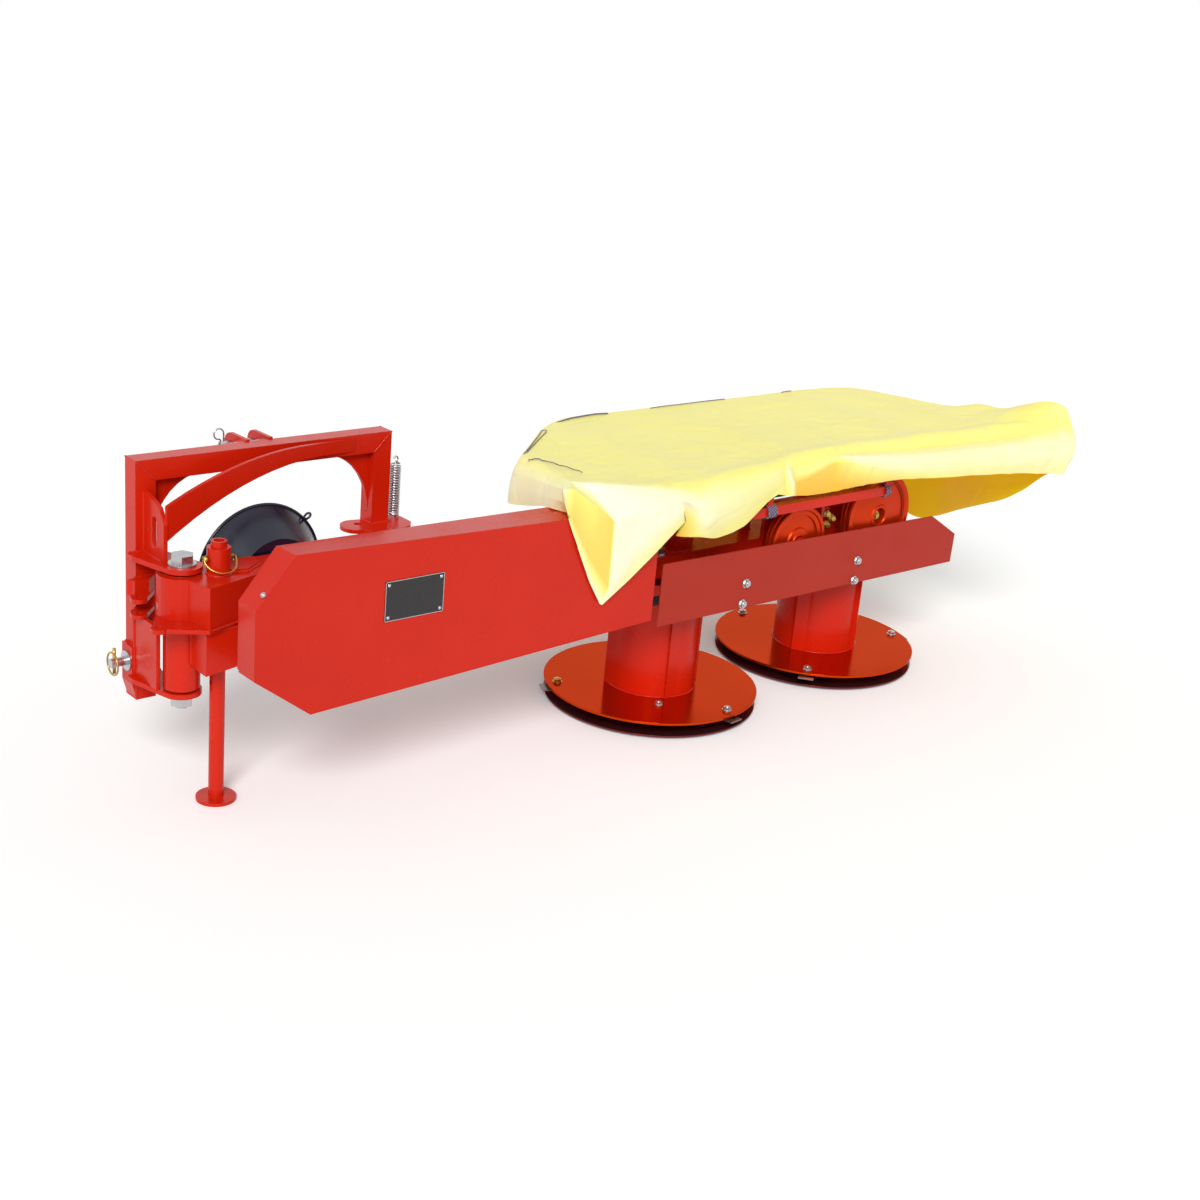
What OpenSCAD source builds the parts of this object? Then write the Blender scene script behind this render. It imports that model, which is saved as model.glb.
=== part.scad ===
// Two-drum rotary mower for a tractor's three-point linkage.
// Machine axes: X runs from the hitch gate out along the drums, Y points at the tractor, Z is up.
// Every length is in millimetres. Places are first counted from drum 1's axis at floor level,
// and stage() then moves the whole machine so that its origin is the middle of its footprint.

/* [Cutting unit] */
// Distance between the two drum axes
drum_pitch = 675; // [640:5:720]
// Radius of a knife disc
disc_r = 300; // [285:5:320]
// Radius of a drum's shell
drum_r = 124; // [110:1:130]
// Height of a knife disc's rim
disc_z = 47; // [42:1:60]
// Height of the top of the drums
drum_top = 370; // [340:2:374]
// Number of crop ribs on a drum
rib_count = 4; // [3:1:6]

/* [Belt drive] */
// Height of the input shaft
input_z = 487; // [480:1:500]
// Distance of the input shaft to the left of drum 1
input_left = 1135; // [1120:5:1150]
// Radius of the input pulley
input_pulley_r = 140; // [130:1:142]
// Radius of the driven pulley
driven_pulley_r = 118; // [110:1:120]
// Radius of the tensioner pulley
idler_r = 90; // [80:1:92]
// Sheet thickness of the belt guard
guard_wall = 3; // [2:0.5:4]

/* [Hitch gate] */
// Width of the gate over its posts
gate_w = 686; // [680:1:720]
// Height of the top of the gate
gate_top = 793; // [780:1:820]
// Side of the square tube
tube = 50; // [45:1:60]
// Height of the lower hitch pins
pin_z = 308; // [300:1:320]
// Height of the top-link pin over the lower pins
mast_h = 460; // [455:1:465]
// Diameter of a lower hitch pin
lower_pin_d = 22; // [22:0.5:22.5]
// Diameter of the top-link pin
top_pin_d = 19; // [19:0.5:19.5]

/* [Arm and stand] */
// Height of the top face of the arm
arm_top = 562; // [550:1:575]
// Diameter of the hinge bolt
bolt_d = 30; // [27:1:33]
// Radius of the stand's foot
foot_r = 47; // [40:1:55]

/* [Canopy] */
// Height of the canopy's top
canopy_top = 718; // [712:1:740]
// Reach of the canopy's near right corner in front of the drum axes
canopy_front = 400; // [380:5:420]
// Reach of the canopy behind the drum axes
canopy_back = 380; // [370:5:400]

/* [Hidden] */
$fn = 64;

// Colours
paint = "#c42a23";
paint_dark = "#a8221c";
zinc = "#c9ccd0";
steel = "#8d9095";
black = "#16181d";
navy = "#1c2433";
sheet = "#f7ee62";

// Gate and hinge places
gate_y = 211;
gate_left = -1455;
gate_right = gate_left + gate_w;
gate_mid = (gate_left + gate_right) / 2;
gate_wall = 4;
post_bottom = 215;
right_post_bottom = 285;
hinge_x = -1402;
hinge_y = 92;
hinge_r = 42;
fork_t = 12;
fork_z = [568, 268];
fork_r = 46;
sleeve_low = 285;
sleeve_top = 563;
washer_t = 4;
head_r = 27;
run_fit = 0.05;

// Transport lock: two drilled ears on the post and a lug on the arm, a quarter turn apart
lock_r = 106;
lock_angle = 125;
lock_eye = 19;
ear_z = [434, 472];
lug_z = 454;
lug_t = 10;
stop_z = [482, 518];

// Arm: box from the hinge to the head, deeper behind the guard, and slimmer again at the head
arm_low = lug_z + lug_t;
arm_deep = 430;
arm_wall = 8;
arm_back = 112;
arm_front = 14;
arm_plate_t = 8;

// Stand
leg_x = -1335;
leg_y = 48;
leg_r = 18;
leg_bore = 12;
socket_r = 27;
socket_low = 352;
socket_top = 625;
leg_top = 640;
foot_t = 8;

// Web under the arm that holds the stand's socket, its outline in X and Z
web_out = [[-1402, 348], [-1210, 372], [-1210, lug_z], [-1402, lug_z]];
web_y = [-21, 84];

// Guard: front face and its outline in X and Z
guard_y = -200;
guard_lip = 66;
guard_depth_left = 78;
guard_depth_right = 125;
guard_left = -1385;
guard_right = -215;
guard_slant = atan((guard_depth_right - guard_depth_left) / (guard_right - guard_left));

// Belt drive places
belt_y = -160;
driven_at = [drum_pitch + 2, 489];
idler_at = [342, 458];
pulley_w = 46;
groove_n = 3;
housing_r = 44;
shaft_r = 17.5;
shaft_body_r = 22;
stub_y = [190, 265];
cone_y = [122, 212];
cone_r = [104, 165];

// Head beam over the drums
head_left = -205;
head_right = drum_pitch + 165;
head_low = 392;
head_top = 452;
head_half = 88;
head_wall = 6;
spindle_r = 18;

// Panel beside the drums
panel_left = -190;
panel_right = 1024;
panel_low = 303;
panel_high = 478;
panel_t = 4;
panel_bolts = [123, 580];

// Canopy sheet and the tubes that it is laced to
canopy_t = 8;
canopy_left = -480;
canopy_right = 1240;
canopy_plan = [[-480, -262], [430, -262], [1000, -330], [canopy_right, -canopy_front], [canopy_right, 60],
    [1090, 345], [-76, canopy_back], [-352, 180], [-450, 72], [-440, -60]];
rail_z = 684;
rail_h = 22;
rail_y = [-235, 312];
rail_w = 20;
low_rail_z = 575;
bow_at = [-130, 300, 795, 1040];
end_rail = [1170, 60];

// Pins and the machine's footprint
pin_reach = 52;
pin_y = 236;
bracket_t = 10;
x_low = gate_left - pin_reach;
x_high = canopy_right;
y_low = -canopy_front;
y_high = canopy_back;

// Moves a piece from drum 1's axis to the middle of the footprint
module stage() {
    translate([-(x_low + x_high) / 2, -(y_low + y_high) / 2, 0]) children();
}

// A bar between two corners
module bar(from, to) {
    translate(from) cube(to - from);
}

// A cylinder along Y from y0 to y1
module along_y(x, z, r, y0, y1) {
    translate([x, y0, z]) rotate([-90, 0, 0]) cylinder(r = r, h = y1 - y0);
}

// A cylinder along X from x0 to x1
module along_x(y, z, r, x0, x1) {
    translate([x0, y, z]) rotate([0, 90, 0]) cylinder(r = r, h = x1 - x0);
}

// A profile in X and Z given a thickness along Y
module wall_y(points, y0, y1) {
    translate([0, y1, 0]) rotate([90, 0, 0]) linear_extrude(y1 - y0) polygon(points);
}

// Points of an arc, in degrees
function arc(cx, cy, r, a0, a1, n) =
    [for (i = [0:n]) let (a = a0 + (a1 - a0) * i / n) [cx + r * cos(a), cy + r * sin(a)]];

// A closed outline, counter-clockwise, with each side moved inwards by d
function inset(p, d) = [for (i = [0:len(p) - 1])
    let (a = p[(i + len(p) - 1) % len(p)], b = p[i], c = p[(i + 1) % len(p)],
        u = (b - a) / norm(b - a), v = (c - b) / norm(c - b), m = [-u[1], u[0]], n = [-v[1], v[0]])
    b + (m + n) * d / (1 + m * n)];

// ---- hitch gate ----

// One mitred side of the gate: an outline in X and Z with the tube's hollow along it
module gate_tube(points, hollow_from, hollow_to) color(paint)
    difference() {
        wall_y(points, gate_y, gate_y + tube);
        bar(hollow_from, hollow_to);
    }

module top_bar() stage()
    gate_tube([[gate_left, gate_top], [gate_left + tube, gate_top - tube],
            [gate_right - tube, gate_top - tube], [gate_right, gate_top]],
        [gate_left - 1, gate_y + gate_wall, gate_top - tube + gate_wall],
        [gate_right + 1, gate_y + tube - gate_wall, gate_top - gate_wall]);

// An upright with the bracket of a lower hitch pin on its outside
module post(outer, inner, low) {
    gate_tube([[outer, low], [inner, low], [inner, gate_top - tube], [outer, gate_top]],
        [min(outer, inner) + gate_wall, gate_y + gate_wall, low - 1],
        [max(outer, inner) - gate_wall, gate_y + tube - gate_wall, gate_top + 1]);
    side = outer + (outer < inner ? -1 : 1) * bracket_t;
    color(paint) wall_y([[outer, max(low, pin_z - 86)], [side, max(low, pin_z - 52)], [side, pin_z + 40],
        [outer, pin_z + 40]], gate_y, gate_y + tube);
}

module left_post() stage() post(gate_left, gate_left + tube, post_bottom);

module right_post() stage() post(gate_right, gate_right - tube, right_post_bottom);

// Curved corner plates between the top bar and the posts
gusset = [130, 158];
module arch_gussets() stage() color(paint)
    for (side = [1, -1]) {
        x0 = side == 1 ? gate_left + tube : gate_right - tube;
        z0 = gate_top - tube;
        wall_y(concat([[x0, z0]],
            [for (a = [0:10:90]) [x0 + side * gusset[0] * (1 - cos(a)), z0 - gusset[1] * (1 - sin(a))]]),
            gate_y + 20, gate_y + 30);
    }

// Curved brace from the cheek plate up to the front of the top bar
cheek_x = -1435;
cheek_t = 10;
brace_turn = 9.5;
brace_t = 10;
module diagonal_brace() stage() color(paint)
    intersection() {
        translate([cheek_x + cheek_t, hinge_y + 32, 0]) rotate([0, 0, brace_turn])
            wall_y(concat([for (u = [-20:46:440]) [u, 757 - 129 * pow(1 - u / 440, 2)]],
                [[560, 752], [560, 786]],
                [for (u = [380:-40:-20]) [u, 790 - 82 * pow(1 - u / 380, 2)]]),
                -brace_t / 2, brace_t / 2);
        bar([cheek_x + cheek_t, 0, 500], [gate_right, gate_y, gate_top]);
    }

// Upright plates on the left post: over the fork with a slot for the lift chain, and low beside the hinge
slot_y = 160;
slot_w = 20;
slot_z = [606, 676];
module cheek_plate() stage() color(paint) {
    bar([gate_left - 4, hinge_y + 12, fork_z[1] + fork_t], [gate_left + 6, gate_y, ear_z[0]]);
    translate([cheek_x, 0, 0])
        difference() {
            rotate([90, 0, 90]) linear_extrude(cheek_t)
                polygon([[gate_y, fork_z[0] + fork_t], [hinge_y + 24, fork_z[0] + fork_t],
                    [hinge_y + 24, 668], [hinge_y + 46, 702], [gate_y - 40, 714], [gate_y, 724]]);
            for (z = [slot_z[0] + slot_w / 2, slot_z[1] - slot_w / 2])
                translate([-1, slot_y, z]) rotate([0, 90, 0]) cylinder(d = slot_w, h = cheek_t + 2);
            translate([-1, slot_y - slot_w / 2, slot_z[0] + slot_w / 2])
                cube([cheek_t + 2, slot_w, slot_z[1] - slot_z[0] - slot_w]);
        }
}

// Two horizontal fork plates that carry the hinge bolt
module hinge_fork() stage() color(paint)
    for (z = fork_z)
        translate([0, 0, z])
            difference() {
                linear_extrude(fork_t) polygon(concat(
                    [[gate_left - 20, gate_y], [gate_left - 20, gate_y - 22]],
                    arc(hinge_x, hinge_y, fork_r, 190, 350, 12),
                    [[gate_left + tube + 12, gate_y - 20], [gate_left + tube + 12, gate_y]]));
                translate([hinge_x, hinge_y, -1]) cylinder(r = bolt_d / 2 + run_fit, h = fork_t + 2);
            }

// Drilled ears on the left post that take the arm's lug in the transport position, and a stop over them
module lock_ear(z, t) {
    eye = [hinge_x + lock_r * cos(lock_angle), hinge_y + lock_r * sin(lock_angle)];
    difference() {
        translate([0, 0, z]) linear_extrude(t) polygon(concat(
            [[gate_left + 48, gate_y], [gate_left - 8, gate_y], [gate_left - 20, gate_y - 12]],
            arc(eye[0], eye[1], lock_eye, 160, 340, 8)));
        translate([eye[0], eye[1], z - 1]) cylinder(d = 13, h = t + 2);
    }
}

module lock_ears() stage() color(paint) {
    for (z = ear_z) lock_ear(z, lug_t);
    translate([0, 0, stop_z[0]]) linear_extrude(stop_z[1] - stop_z[0])
        polygon(concat([[gate_left + 48, gate_y], [gate_left - 8, gate_y]],
            arc(gate_left - 40, gate_y - 23, 26, 48, 0, 4), [[gate_left + 22, gate_y - 22]]));
}

// Collar and pin with a linch-pin hole, on the bracket of a post
module hitch_pin(x, s) color(zinc)
    translate([x, pin_y, pin_z]) rotate([0, s * 90, 0]) difference() {
        union() {
            translate([0, 0, bracket_t]) cylinder(d = lower_pin_d, h = pin_reach - bracket_t);
            translate([0, 0, bracket_t]) cylinder(r = 24, h = 4);
        }
        translate([-20, 0, pin_reach - 10]) rotate([0, 90, 0]) cylinder(d = 8, h = 40);
    }

module lower_pins() stage() {
    hitch_pin(gate_left, -1);
    hitch_pin(gate_right, 1);
}

top_pin_z = pin_z + mast_h;
top_pin_y = gate_y + 124;
ear_gap = 52;
ear_t = 10;
module top_link_ears() stage() color(paint)
    for (s = [-1, 1])
        difference() {
            translate([gate_mid + s * (ear_gap + ear_t) / 2 - ear_t / 2, 0, 0]) rotate([90, 0, 90])
                linear_extrude(ear_t) polygon(concat([[gate_y + tube, gate_top - tube], [gate_y + tube, gate_top + 4]],
                    arc(top_pin_y, top_pin_z, 28, 80, -90, 8)));
            along_x(top_pin_y, top_pin_z, top_pin_d / 2 + run_fit, gate_mid - 60, gate_mid + 60);
        }

module top_link_pin() stage() color(zinc)
    difference() {
        union() {
            along_x(top_pin_y, top_pin_z, top_pin_d / 2, gate_mid - 64, gate_mid + 42);
            along_x(top_pin_y, top_pin_z, 15, gate_mid + 42, gate_mid + 50);
        }
        translate([gate_mid - 54, top_pin_y, top_pin_z - 20]) cylinder(d = 6, h = 40);
    }

// Plate round the right post that takes the breakaway latch and its spring
latch_z = 550;
latch_t = 10;
latch_eye = [gate_right - tube - 32, gate_y + 10];
module latch_plate() stage() color(paint)
    difference() {
        translate([0, 0, latch_z]) linear_extrude(latch_t) polygon(concat(
            [[gate_right - tube, gate_y + 38]],
            arc(latch_eye[0] - 8, latch_eye[1] - 6, 42, 80, 260, 10),
            [[gate_right - tube, gate_y - 76], [gate_right + 30, gate_y - 56], [gate_right + 50, gate_y - 30],
            [gate_right + 50, gate_y + 42], [gate_right, gate_y + 42], [gate_right, gate_y],
            [gate_right - tube, gate_y]]));
        translate([latch_eye[0], latch_eye[1], latch_z - 1]) cylinder(d = 22, h = latch_t + 2);
    }

spring_x = gate_right + 33;
module latch_spring() stage() color(zinc)
    translate([spring_x, gate_y + 25, latch_z + latch_t]) difference() {
        cylinder(r = 12, h = 152);
        translate([0, 0, -1]) cylinder(r = 8, h = 154);
    }

module hinge_bolt() stage() {
    top = fork_z[0] + fork_t;
    low = fork_z[1];
    color(zinc) {
        translate([hinge_x, hinge_y, low - 34]) cylinder(d = bolt_d, h = top - low + 36);
        translate([hinge_x, hinge_y, top + washer_t]) cylinder(r = head_r, h = 20, $fn = 6);
        translate([hinge_x, hinge_y, top]) cylinder(r = head_r + 5, h = washer_t);
        translate([hinge_x, hinge_y, low - 28]) cylinder(r = head_r, h = 24, $fn = 6);
        translate([hinge_x, hinge_y, low - washer_t]) cylinder(r = head_r + 5, h = washer_t);
    }
}

// ---- arm ----

module hinge_sleeve() stage() color(paint)
    translate([hinge_x, hinge_y, sleeve_low]) difference() {
        cylinder(r = hinge_r, h = sleeve_top - sleeve_low);
        translate([0, 0, -1]) cylinder(r = bolt_d / 2 + run_fit, h = sleeve_top - sleeve_low + 2);
    }

// Outlines of the arm: in X and Y, with a round end at the hinge, and in X and Z
arm_plan = concat(arc(hinge_x, hinge_y, 58, 100, 255, 12), [[-1402, -36], [-1262, 4], [-1225, arm_front],
    [-1000, arm_front], [head_left, -60], [head_left, 60], [-1000, arm_back], [-1250, arm_back]]);
arm_side = [[-1500, arm_low], [-1268, arm_low], [-1228, arm_deep], [-620, arm_deep], [head_left, head_low],
    [head_left, head_top], [-620, arm_top], [-1500, arm_top]];

module arm_shape(d)
    intersection() {
        translate([0, 0, 300]) linear_extrude(400) polygon(inset(arm_plan, d));
        wall_y(inset(arm_side, d), -300, 300);
    }

module arm_beam() stage() color(paint)
    difference() {
        union() {
            arm_shape(0);
            translate([0, 0, arm_top]) linear_extrude(arm_plate_t)
                polygon([[-1320, 40], [-1271, 28], [-1222, 62], [-1216, 94], [-1250, 102], [-1307, 82]]);
        }
        difference() {
            arm_shape(arm_wall);
            translate([hinge_x, hinge_y, 300]) cylinder(r = hinge_r + arm_wall + 9, h = 400);
            translate([leg_x, leg_y, 300]) cylinder(r = socket_r + arm_wall, h = 400);
            along_y(-input_left, input_z, housing_r + arm_wall, -200, 300);
        }
        translate([hinge_x, hinge_y, 300]) cylinder(r = hinge_r, h = 400);
        translate([leg_x, leg_y, 300]) cylinder(r = socket_r, h = 400);
        along_y(-input_left, input_z, housing_r, -200, 300);
    }

// Lug plate under the arm and the box below it that steadies the stand
module arm_web() stage() color(paint)
    difference() {
        eye = [hinge_x + lock_r * cos(lock_angle + 90), hinge_y + lock_r * sin(lock_angle + 90)];
        union() {
            translate([0, 0, lug_z]) linear_extrude(lug_t) polygon(concat(
                arc(hinge_x, hinge_y, 58, 60, 165, 6), arc(eye[0], eye[1], lock_eye, 125, 295, 8),
                [[-1402, -36], [-1238, 6], [-1238, 100]]));
            wall_y(web_out, web_y[0], web_y[1]);
        }
        difference() {
            wall_y([[-1394, 300], [-1218, 300], [-1218, lug_z - 8], [-1394, lug_z - 8]],
                web_y[0] + 8, web_y[1] - 8);
            translate([leg_x, leg_y, 300]) cylinder(r = socket_r + 5, h = 200);
        }
        arm_shape(0);
        translate([leg_x, leg_y, 300]) cylinder(r = socket_r, h = 200);
        translate([hinge_x, hinge_y, 300]) cylinder(r = hinge_r, h = 200);
        translate([eye[0], eye[1], lug_z - 1]) cylinder(d = 13, h = lug_t + 2);
    }

module stand_socket() stage() color(paint)
    translate([leg_x, leg_y, socket_low]) difference() {
        cylinder(r = socket_r, h = socket_top - socket_low);
        translate([0, 0, -1]) cylinder(r = leg_r + run_fit, h = socket_top - socket_low + 2);
        translate([-40, 0, socket_top - socket_low - 26]) rotate([0, 90, 0]) cylinder(d = 11, h = 80);
    }

module stand_leg() stage() color(paint) {
    translate([leg_x, leg_y, foot_t]) difference() {
        cylinder(r = leg_r, h = leg_top - foot_t);
        translate([0, 0, foot_t]) cylinder(r = leg_bore, h = leg_top);
        for (z = [socket_top - 26, 300])
            translate([-40, 0, z - foot_t]) rotate([0, 90, 0]) cylinder(d = 11, h = 80);
    }
    translate([leg_x, leg_y, 0]) cylinder(r = foot_r, h = foot_t);
}

module bearing_housing() stage() color(paint)
    difference() {
        union() {
            along_y(-input_left, input_z, housing_r, guard_y + 80, cone_y[0] - 8);
            along_y(-input_left, input_z, 62, cone_y[0] - 8, cone_y[0]);
        }
        along_y(-input_left, input_z, shaft_body_r + run_fit, guard_y + 70, cone_y[1]);
    }

// Plastic cup round the shaft's end, its mouth to the tractor
module pto_cone() stage() color(navy)
    translate([-input_left, cone_y[0], input_z]) rotate([-90, 0, 0]) {
        depth = cone_y[1] - cone_y[0];
        difference() {
            cylinder(r1 = cone_r[0], r2 = cone_r[1], h = depth);
            translate([0, 0, 4]) cylinder(r1 = cone_r[0] - 5, r2 = cone_r[1] - 5, h = depth);
            translate([0, 0, -1]) cylinder(r = 30, h = 10);
        }
    }

// A grooved pulley with a web and a bored hub, its axis along Z
module pulley(r, bore)
    difference() {
        cylinder(r = r, h = pulley_w);
        for (i = [0:groove_n - 1]) translate([0, 0, (i + 0.5) * pulley_w / groove_n]) rotate_extrude()
            polygon([[r + 1, -6.5], [r - 11, -3.5], [r - 11, 3.5], [r + 1, 6.5]]);
        for (z = [-1, pulley_w * 0.7]) translate([0, 0, z]) difference() {
            cylinder(r = r - 20, h = pulley_w * 0.3 + 1);
            cylinder(r = bore + 16, h = pulley_w);
        }
        translate([0, 0, -1]) cylinder(r = bore, h = pulley_w + 2);
    }

// The shaft is thicker in its bearings than at its splined end
module pto_shaft() stage() {
    color(steel) along_y(-input_left, input_z, shaft_body_r, belt_y - pulley_w / 2 - 6, stub_y[0]);
    color(steel) along_y(-input_left, input_z, shaft_r, stub_y[0], stub_y[1]);
    color(paint_dark) translate([-input_left, belt_y - pulley_w / 2, input_z]) rotate([-90, 0, 0])
        pulley(input_pulley_r, shaft_body_r - 1);
}

driven_shaft_r = 15;
module driven_pulley() stage() {
    color(paint) translate([driven_at[0], belt_y - pulley_w / 2, driven_at[1]]) rotate([-90, 0, 0])
        pulley(driven_pulley_r, driven_shaft_r - 1);
    color(zinc) along_y(driven_at[0], driven_at[1], driven_shaft_r, belt_y - pulley_w / 2 - 7, -head_half);
}

idler_pin_r = 11;
module idler_pulley() stage() color(paint)
    translate([idler_at[0], belt_y - pulley_w / 2, idler_at[1]]) rotate([-90, 0, 0])
        pulley(idler_r, idler_pin_r + run_fit);

// Bracket, pin and screw of the belt tensioner
module tensioner() stage() {
    color(zinc) {
        along_y(idler_at[0], idler_at[1], idler_pin_r, belt_y - pulley_w / 2 - 8, -head_half - 12);
        along_y(idler_at[0], idler_at[1], 17, belt_y - pulley_w / 2 - 8, belt_y - pulley_w / 2 - 1);
        along_x(-head_half - 36, 522, 8, idler_at[0] + 88, idler_at[0] + 170);
    }
    color(paint) {
        bar([idler_at[0] - 60, -head_half - 12, head_low + 8], [idler_at[0] + 130, -head_half, 560]);
        bar([idler_at[0] + 118, -head_half - 60, 496], [idler_at[0] + 130, -head_half - 12, 548]);
    }
}

// Outside of the belts' loop when the pulleys' rims are d larger, in X and Z
module belt_loop(d)
    hull() {
        translate([-input_left, input_z]) circle(r = input_pulley_r + d);
        translate(driven_at) circle(r = driven_pulley_r + d);
        translate(idler_at) circle(r = idler_r + d);
    }

// Three V-belts round the input and the driven pulley, pressed down by the tensioner pulley
module drive_belts() stage() color(black)
    for (i = [0:groove_n - 1])
        translate([0, belt_y - pulley_w / 2 + (i + 0.5) * pulley_w / groove_n + 3, 0]) rotate([90, 0, 0])
            linear_extrude(6) difference() {
                belt_loop(-1);
                belt_loop(-9);
            }

// ---- belt guard and drum panel ----

// The guard's outline, its walls inset by d and its right end left open when that is over 0
function guard_out(d) = [[guard_left + d, 398 + d * 0.6], [-1240 + d * 0.3, 290 + d],
    [guard_right + (d > 0 ? 1 : 0), 332 + d], [guard_right + (d > 0 ? 1 : 0), 640 - d],
    [-1290 + d * 0.3, 674 - d], [guard_left + d, 562 - d * 0.4]];

// Everything behind the guard's back, which is deeper at its right end
module behind_guard(gap)
    translate([guard_left, guard_y + guard_depth_left + gap, 200]) rotate([0, 0, guard_slant])
        translate([-50, 0, 0]) cube([1600, 260, 600]);

module guard_cover() stage() color(paint)
    difference() {
        wall_y(guard_out(0), guard_y, guard_y + guard_lip);
        wall_y(guard_out(guard_wall), guard_y + guard_wall, guard_y + guard_lip + 1);
    }

// Pan that closes the guard from behind, with the two brackets that hold it to the arm
bracket_x = [-900, -360];
module guard_back() stage() color(paint) {
    difference() {
        wall_y([for (p = guard_out(guard_wall + 0.5)) [min(p[0], guard_right), p[1]]],
            guard_y + guard_lip - 12, guard_y + guard_depth_right);
        difference() {
            wall_y(guard_out(guard_wall * 2 + 0.5), guard_y + guard_lip - 13, guard_y + 200);
            behind_guard(-guard_wall);
        }
        along_y(-input_left, input_z, housing_r + 1, guard_y, 0);
        behind_guard(0);
    }
    for (x = bracket_x) difference() {
        bar([x - 20, guard_y + 70, 470], [x + 20, 40, 500]);
        difference() {
            bar([x - 30, guard_y, 400], [x + 30, 60, 600]);
            behind_guard(-1);
        }
        arm_shape(0);
    }
}

module nameplate() stage() color(black)
    bar([-1053, guard_y - 2, 478], [-891, guard_y, 574]);

// Sheet beside the drums on two brackets from under the head beam
module drum_panel() stage() color(paint) {
    wall_y([[panel_left, panel_low + 6], [panel_right, panel_low], [panel_right + 2, 392],
        [panel_right - 120, panel_high - 14], [panel_left, panel_high + 4]], guard_y, guard_y + panel_t);
    for (x = panel_bolts) {
        bar([x - 18, guard_y + panel_t, 312], [x + 18, guard_y + panel_t + 6, head_low]);
        bar([x - 18, guard_y + panel_t, head_low - 12], [x + 18, -50, head_low]);
    }
}

// ---- head beam and canopy ----

module head_beam() stage() color(paint)
    difference() {
        bar([head_left, -head_half, head_low], [head_right, head_half, head_top]);
        bar([head_left + head_wall, -head_half + head_wall, head_low + head_wall],
            [head_right + 1, head_half - head_wall, head_top - head_wall]);
    }

module gearbox(x) color(paint) {
    translate([x, 0, head_top]) cylinder(r = 78, h = 70);
    translate([x, 0, drum_top + 6]) cylinder(r = 60, h = head_low - drum_top - 6);
    translate([x, 0, 7]) cylinder(r = spindle_r, h = drum_top);
}

module gearbox_left() stage() gearbox(0);

module gearbox_right() stage() difference() {
    union() {
        gearbox(drum_pitch);
        color(paint) along_y(driven_at[0], driven_at[1], 36, -128, -40);
    }
    along_y(driven_at[0], driven_at[1], driven_shaft_r + run_fit, -130, -head_half + 8);
}

// Lower edge of the front skirt from the hanging corner to the right, in X and Z
front_edge = [[canopy_left - 1, 640], [-400, 414], [-331, 522], [-192, 610], [-96, 562], [80, 586],
    [134, 623], [356, 628], [canopy_right + 1, 613]];
// Lower edge of the skirt at the right end, in Y and Z
right_edge = [[-canopy_front - 1, 613], [-337, 586], [-273, 502], [-143, 445], [0, 352], [170, 342],
    [canopy_back + 1, 480]];

module canopy() stage() color(sheet)
    difference() {
        translate([0, 0, 330]) linear_extrude(canopy_top - 330) polygon(canopy_plan);
        translate([0, 0, 329]) linear_extrude(canopy_top - 329 - canopy_t) polygon(inset(canopy_plan, canopy_t));
        wall_y(concat([[canopy_left - 1, 300]], front_edge, [[canopy_right + 1, 300]]), -canopy_front - 1, -206);
        translate([1085, 0, 0]) rotate([90, 0, 90]) linear_extrude(200)
            polygon(concat([[-canopy_front - 1, 300]], right_edge, [[canopy_back + 1, 300]]));
        // over the guard, behind it, and along the far side
        bar([canopy_left - 1, -206, 300], [1085, -70, 656]);
        bar([canopy_left - 1, -71, 300], [1085, canopy_back + 1, 600]);
    }

// Tubes along the canopy's edge
module canopy_rails() stage() color(paint) {
    bar([-150, rail_y[0], rail_z], [end_rail[0] + rail_w, rail_y[0] + rail_w, rail_z + rail_h]);
    bar([-70, rail_y[1], rail_z], [1080, rail_y[1] + rail_w, rail_z + rail_h]);
    bar([end_rail[0], rail_y[0] + rail_w, rail_z], [end_rail[0] + rail_w, end_rail[1], rail_z + rail_h]);
    bar([-430, -50, rail_z], [-410, 62, rail_z + rail_h]);
    bar([90, rail_y[0], low_rail_z], [656, rail_y[0] + 26, low_rail_z + 26]);
}

// Cross tubes and the slanted ones at the corners
module canopy_bows() stage() color(paint) {
    for (x = bow_at) bar([x, rail_y[0] + rail_w, rail_z], [x + rail_w, rail_y[1], rail_z + rail_h]);
    translate([0, 0, rail_z]) linear_extrude(rail_h) {
        polygon([[-430, 62], [-410, 62], [-70, rail_y[1]], [-70, rail_y[1] + rail_w]]);
        polygon([[end_rail[0], end_rail[1]], [end_rail[0] + rail_w, end_rail[1]],
            [1080, rail_y[1] + rail_w], [1080, rail_y[1]]]);
        polygon([[-430, -50], [-150, rail_y[0]], [-150, rail_y[0] + rail_w], [-410, -50]]);
    }
}

// Posts from the head beam up to the cross tubes, and hangers of the low rail
module canopy_posts() stage() color(paint) {
    for (i = [0:2]) bar([bow_at[i], -12, head_top], [bow_at[i] + rail_w, 12, rail_z]);
    for (x = [140, 620]) bar([x, rail_y[0], low_rail_z + 26], [x + rail_w, rail_y[0] + rail_w, rail_z]);
}

// ---- drums ----

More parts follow.
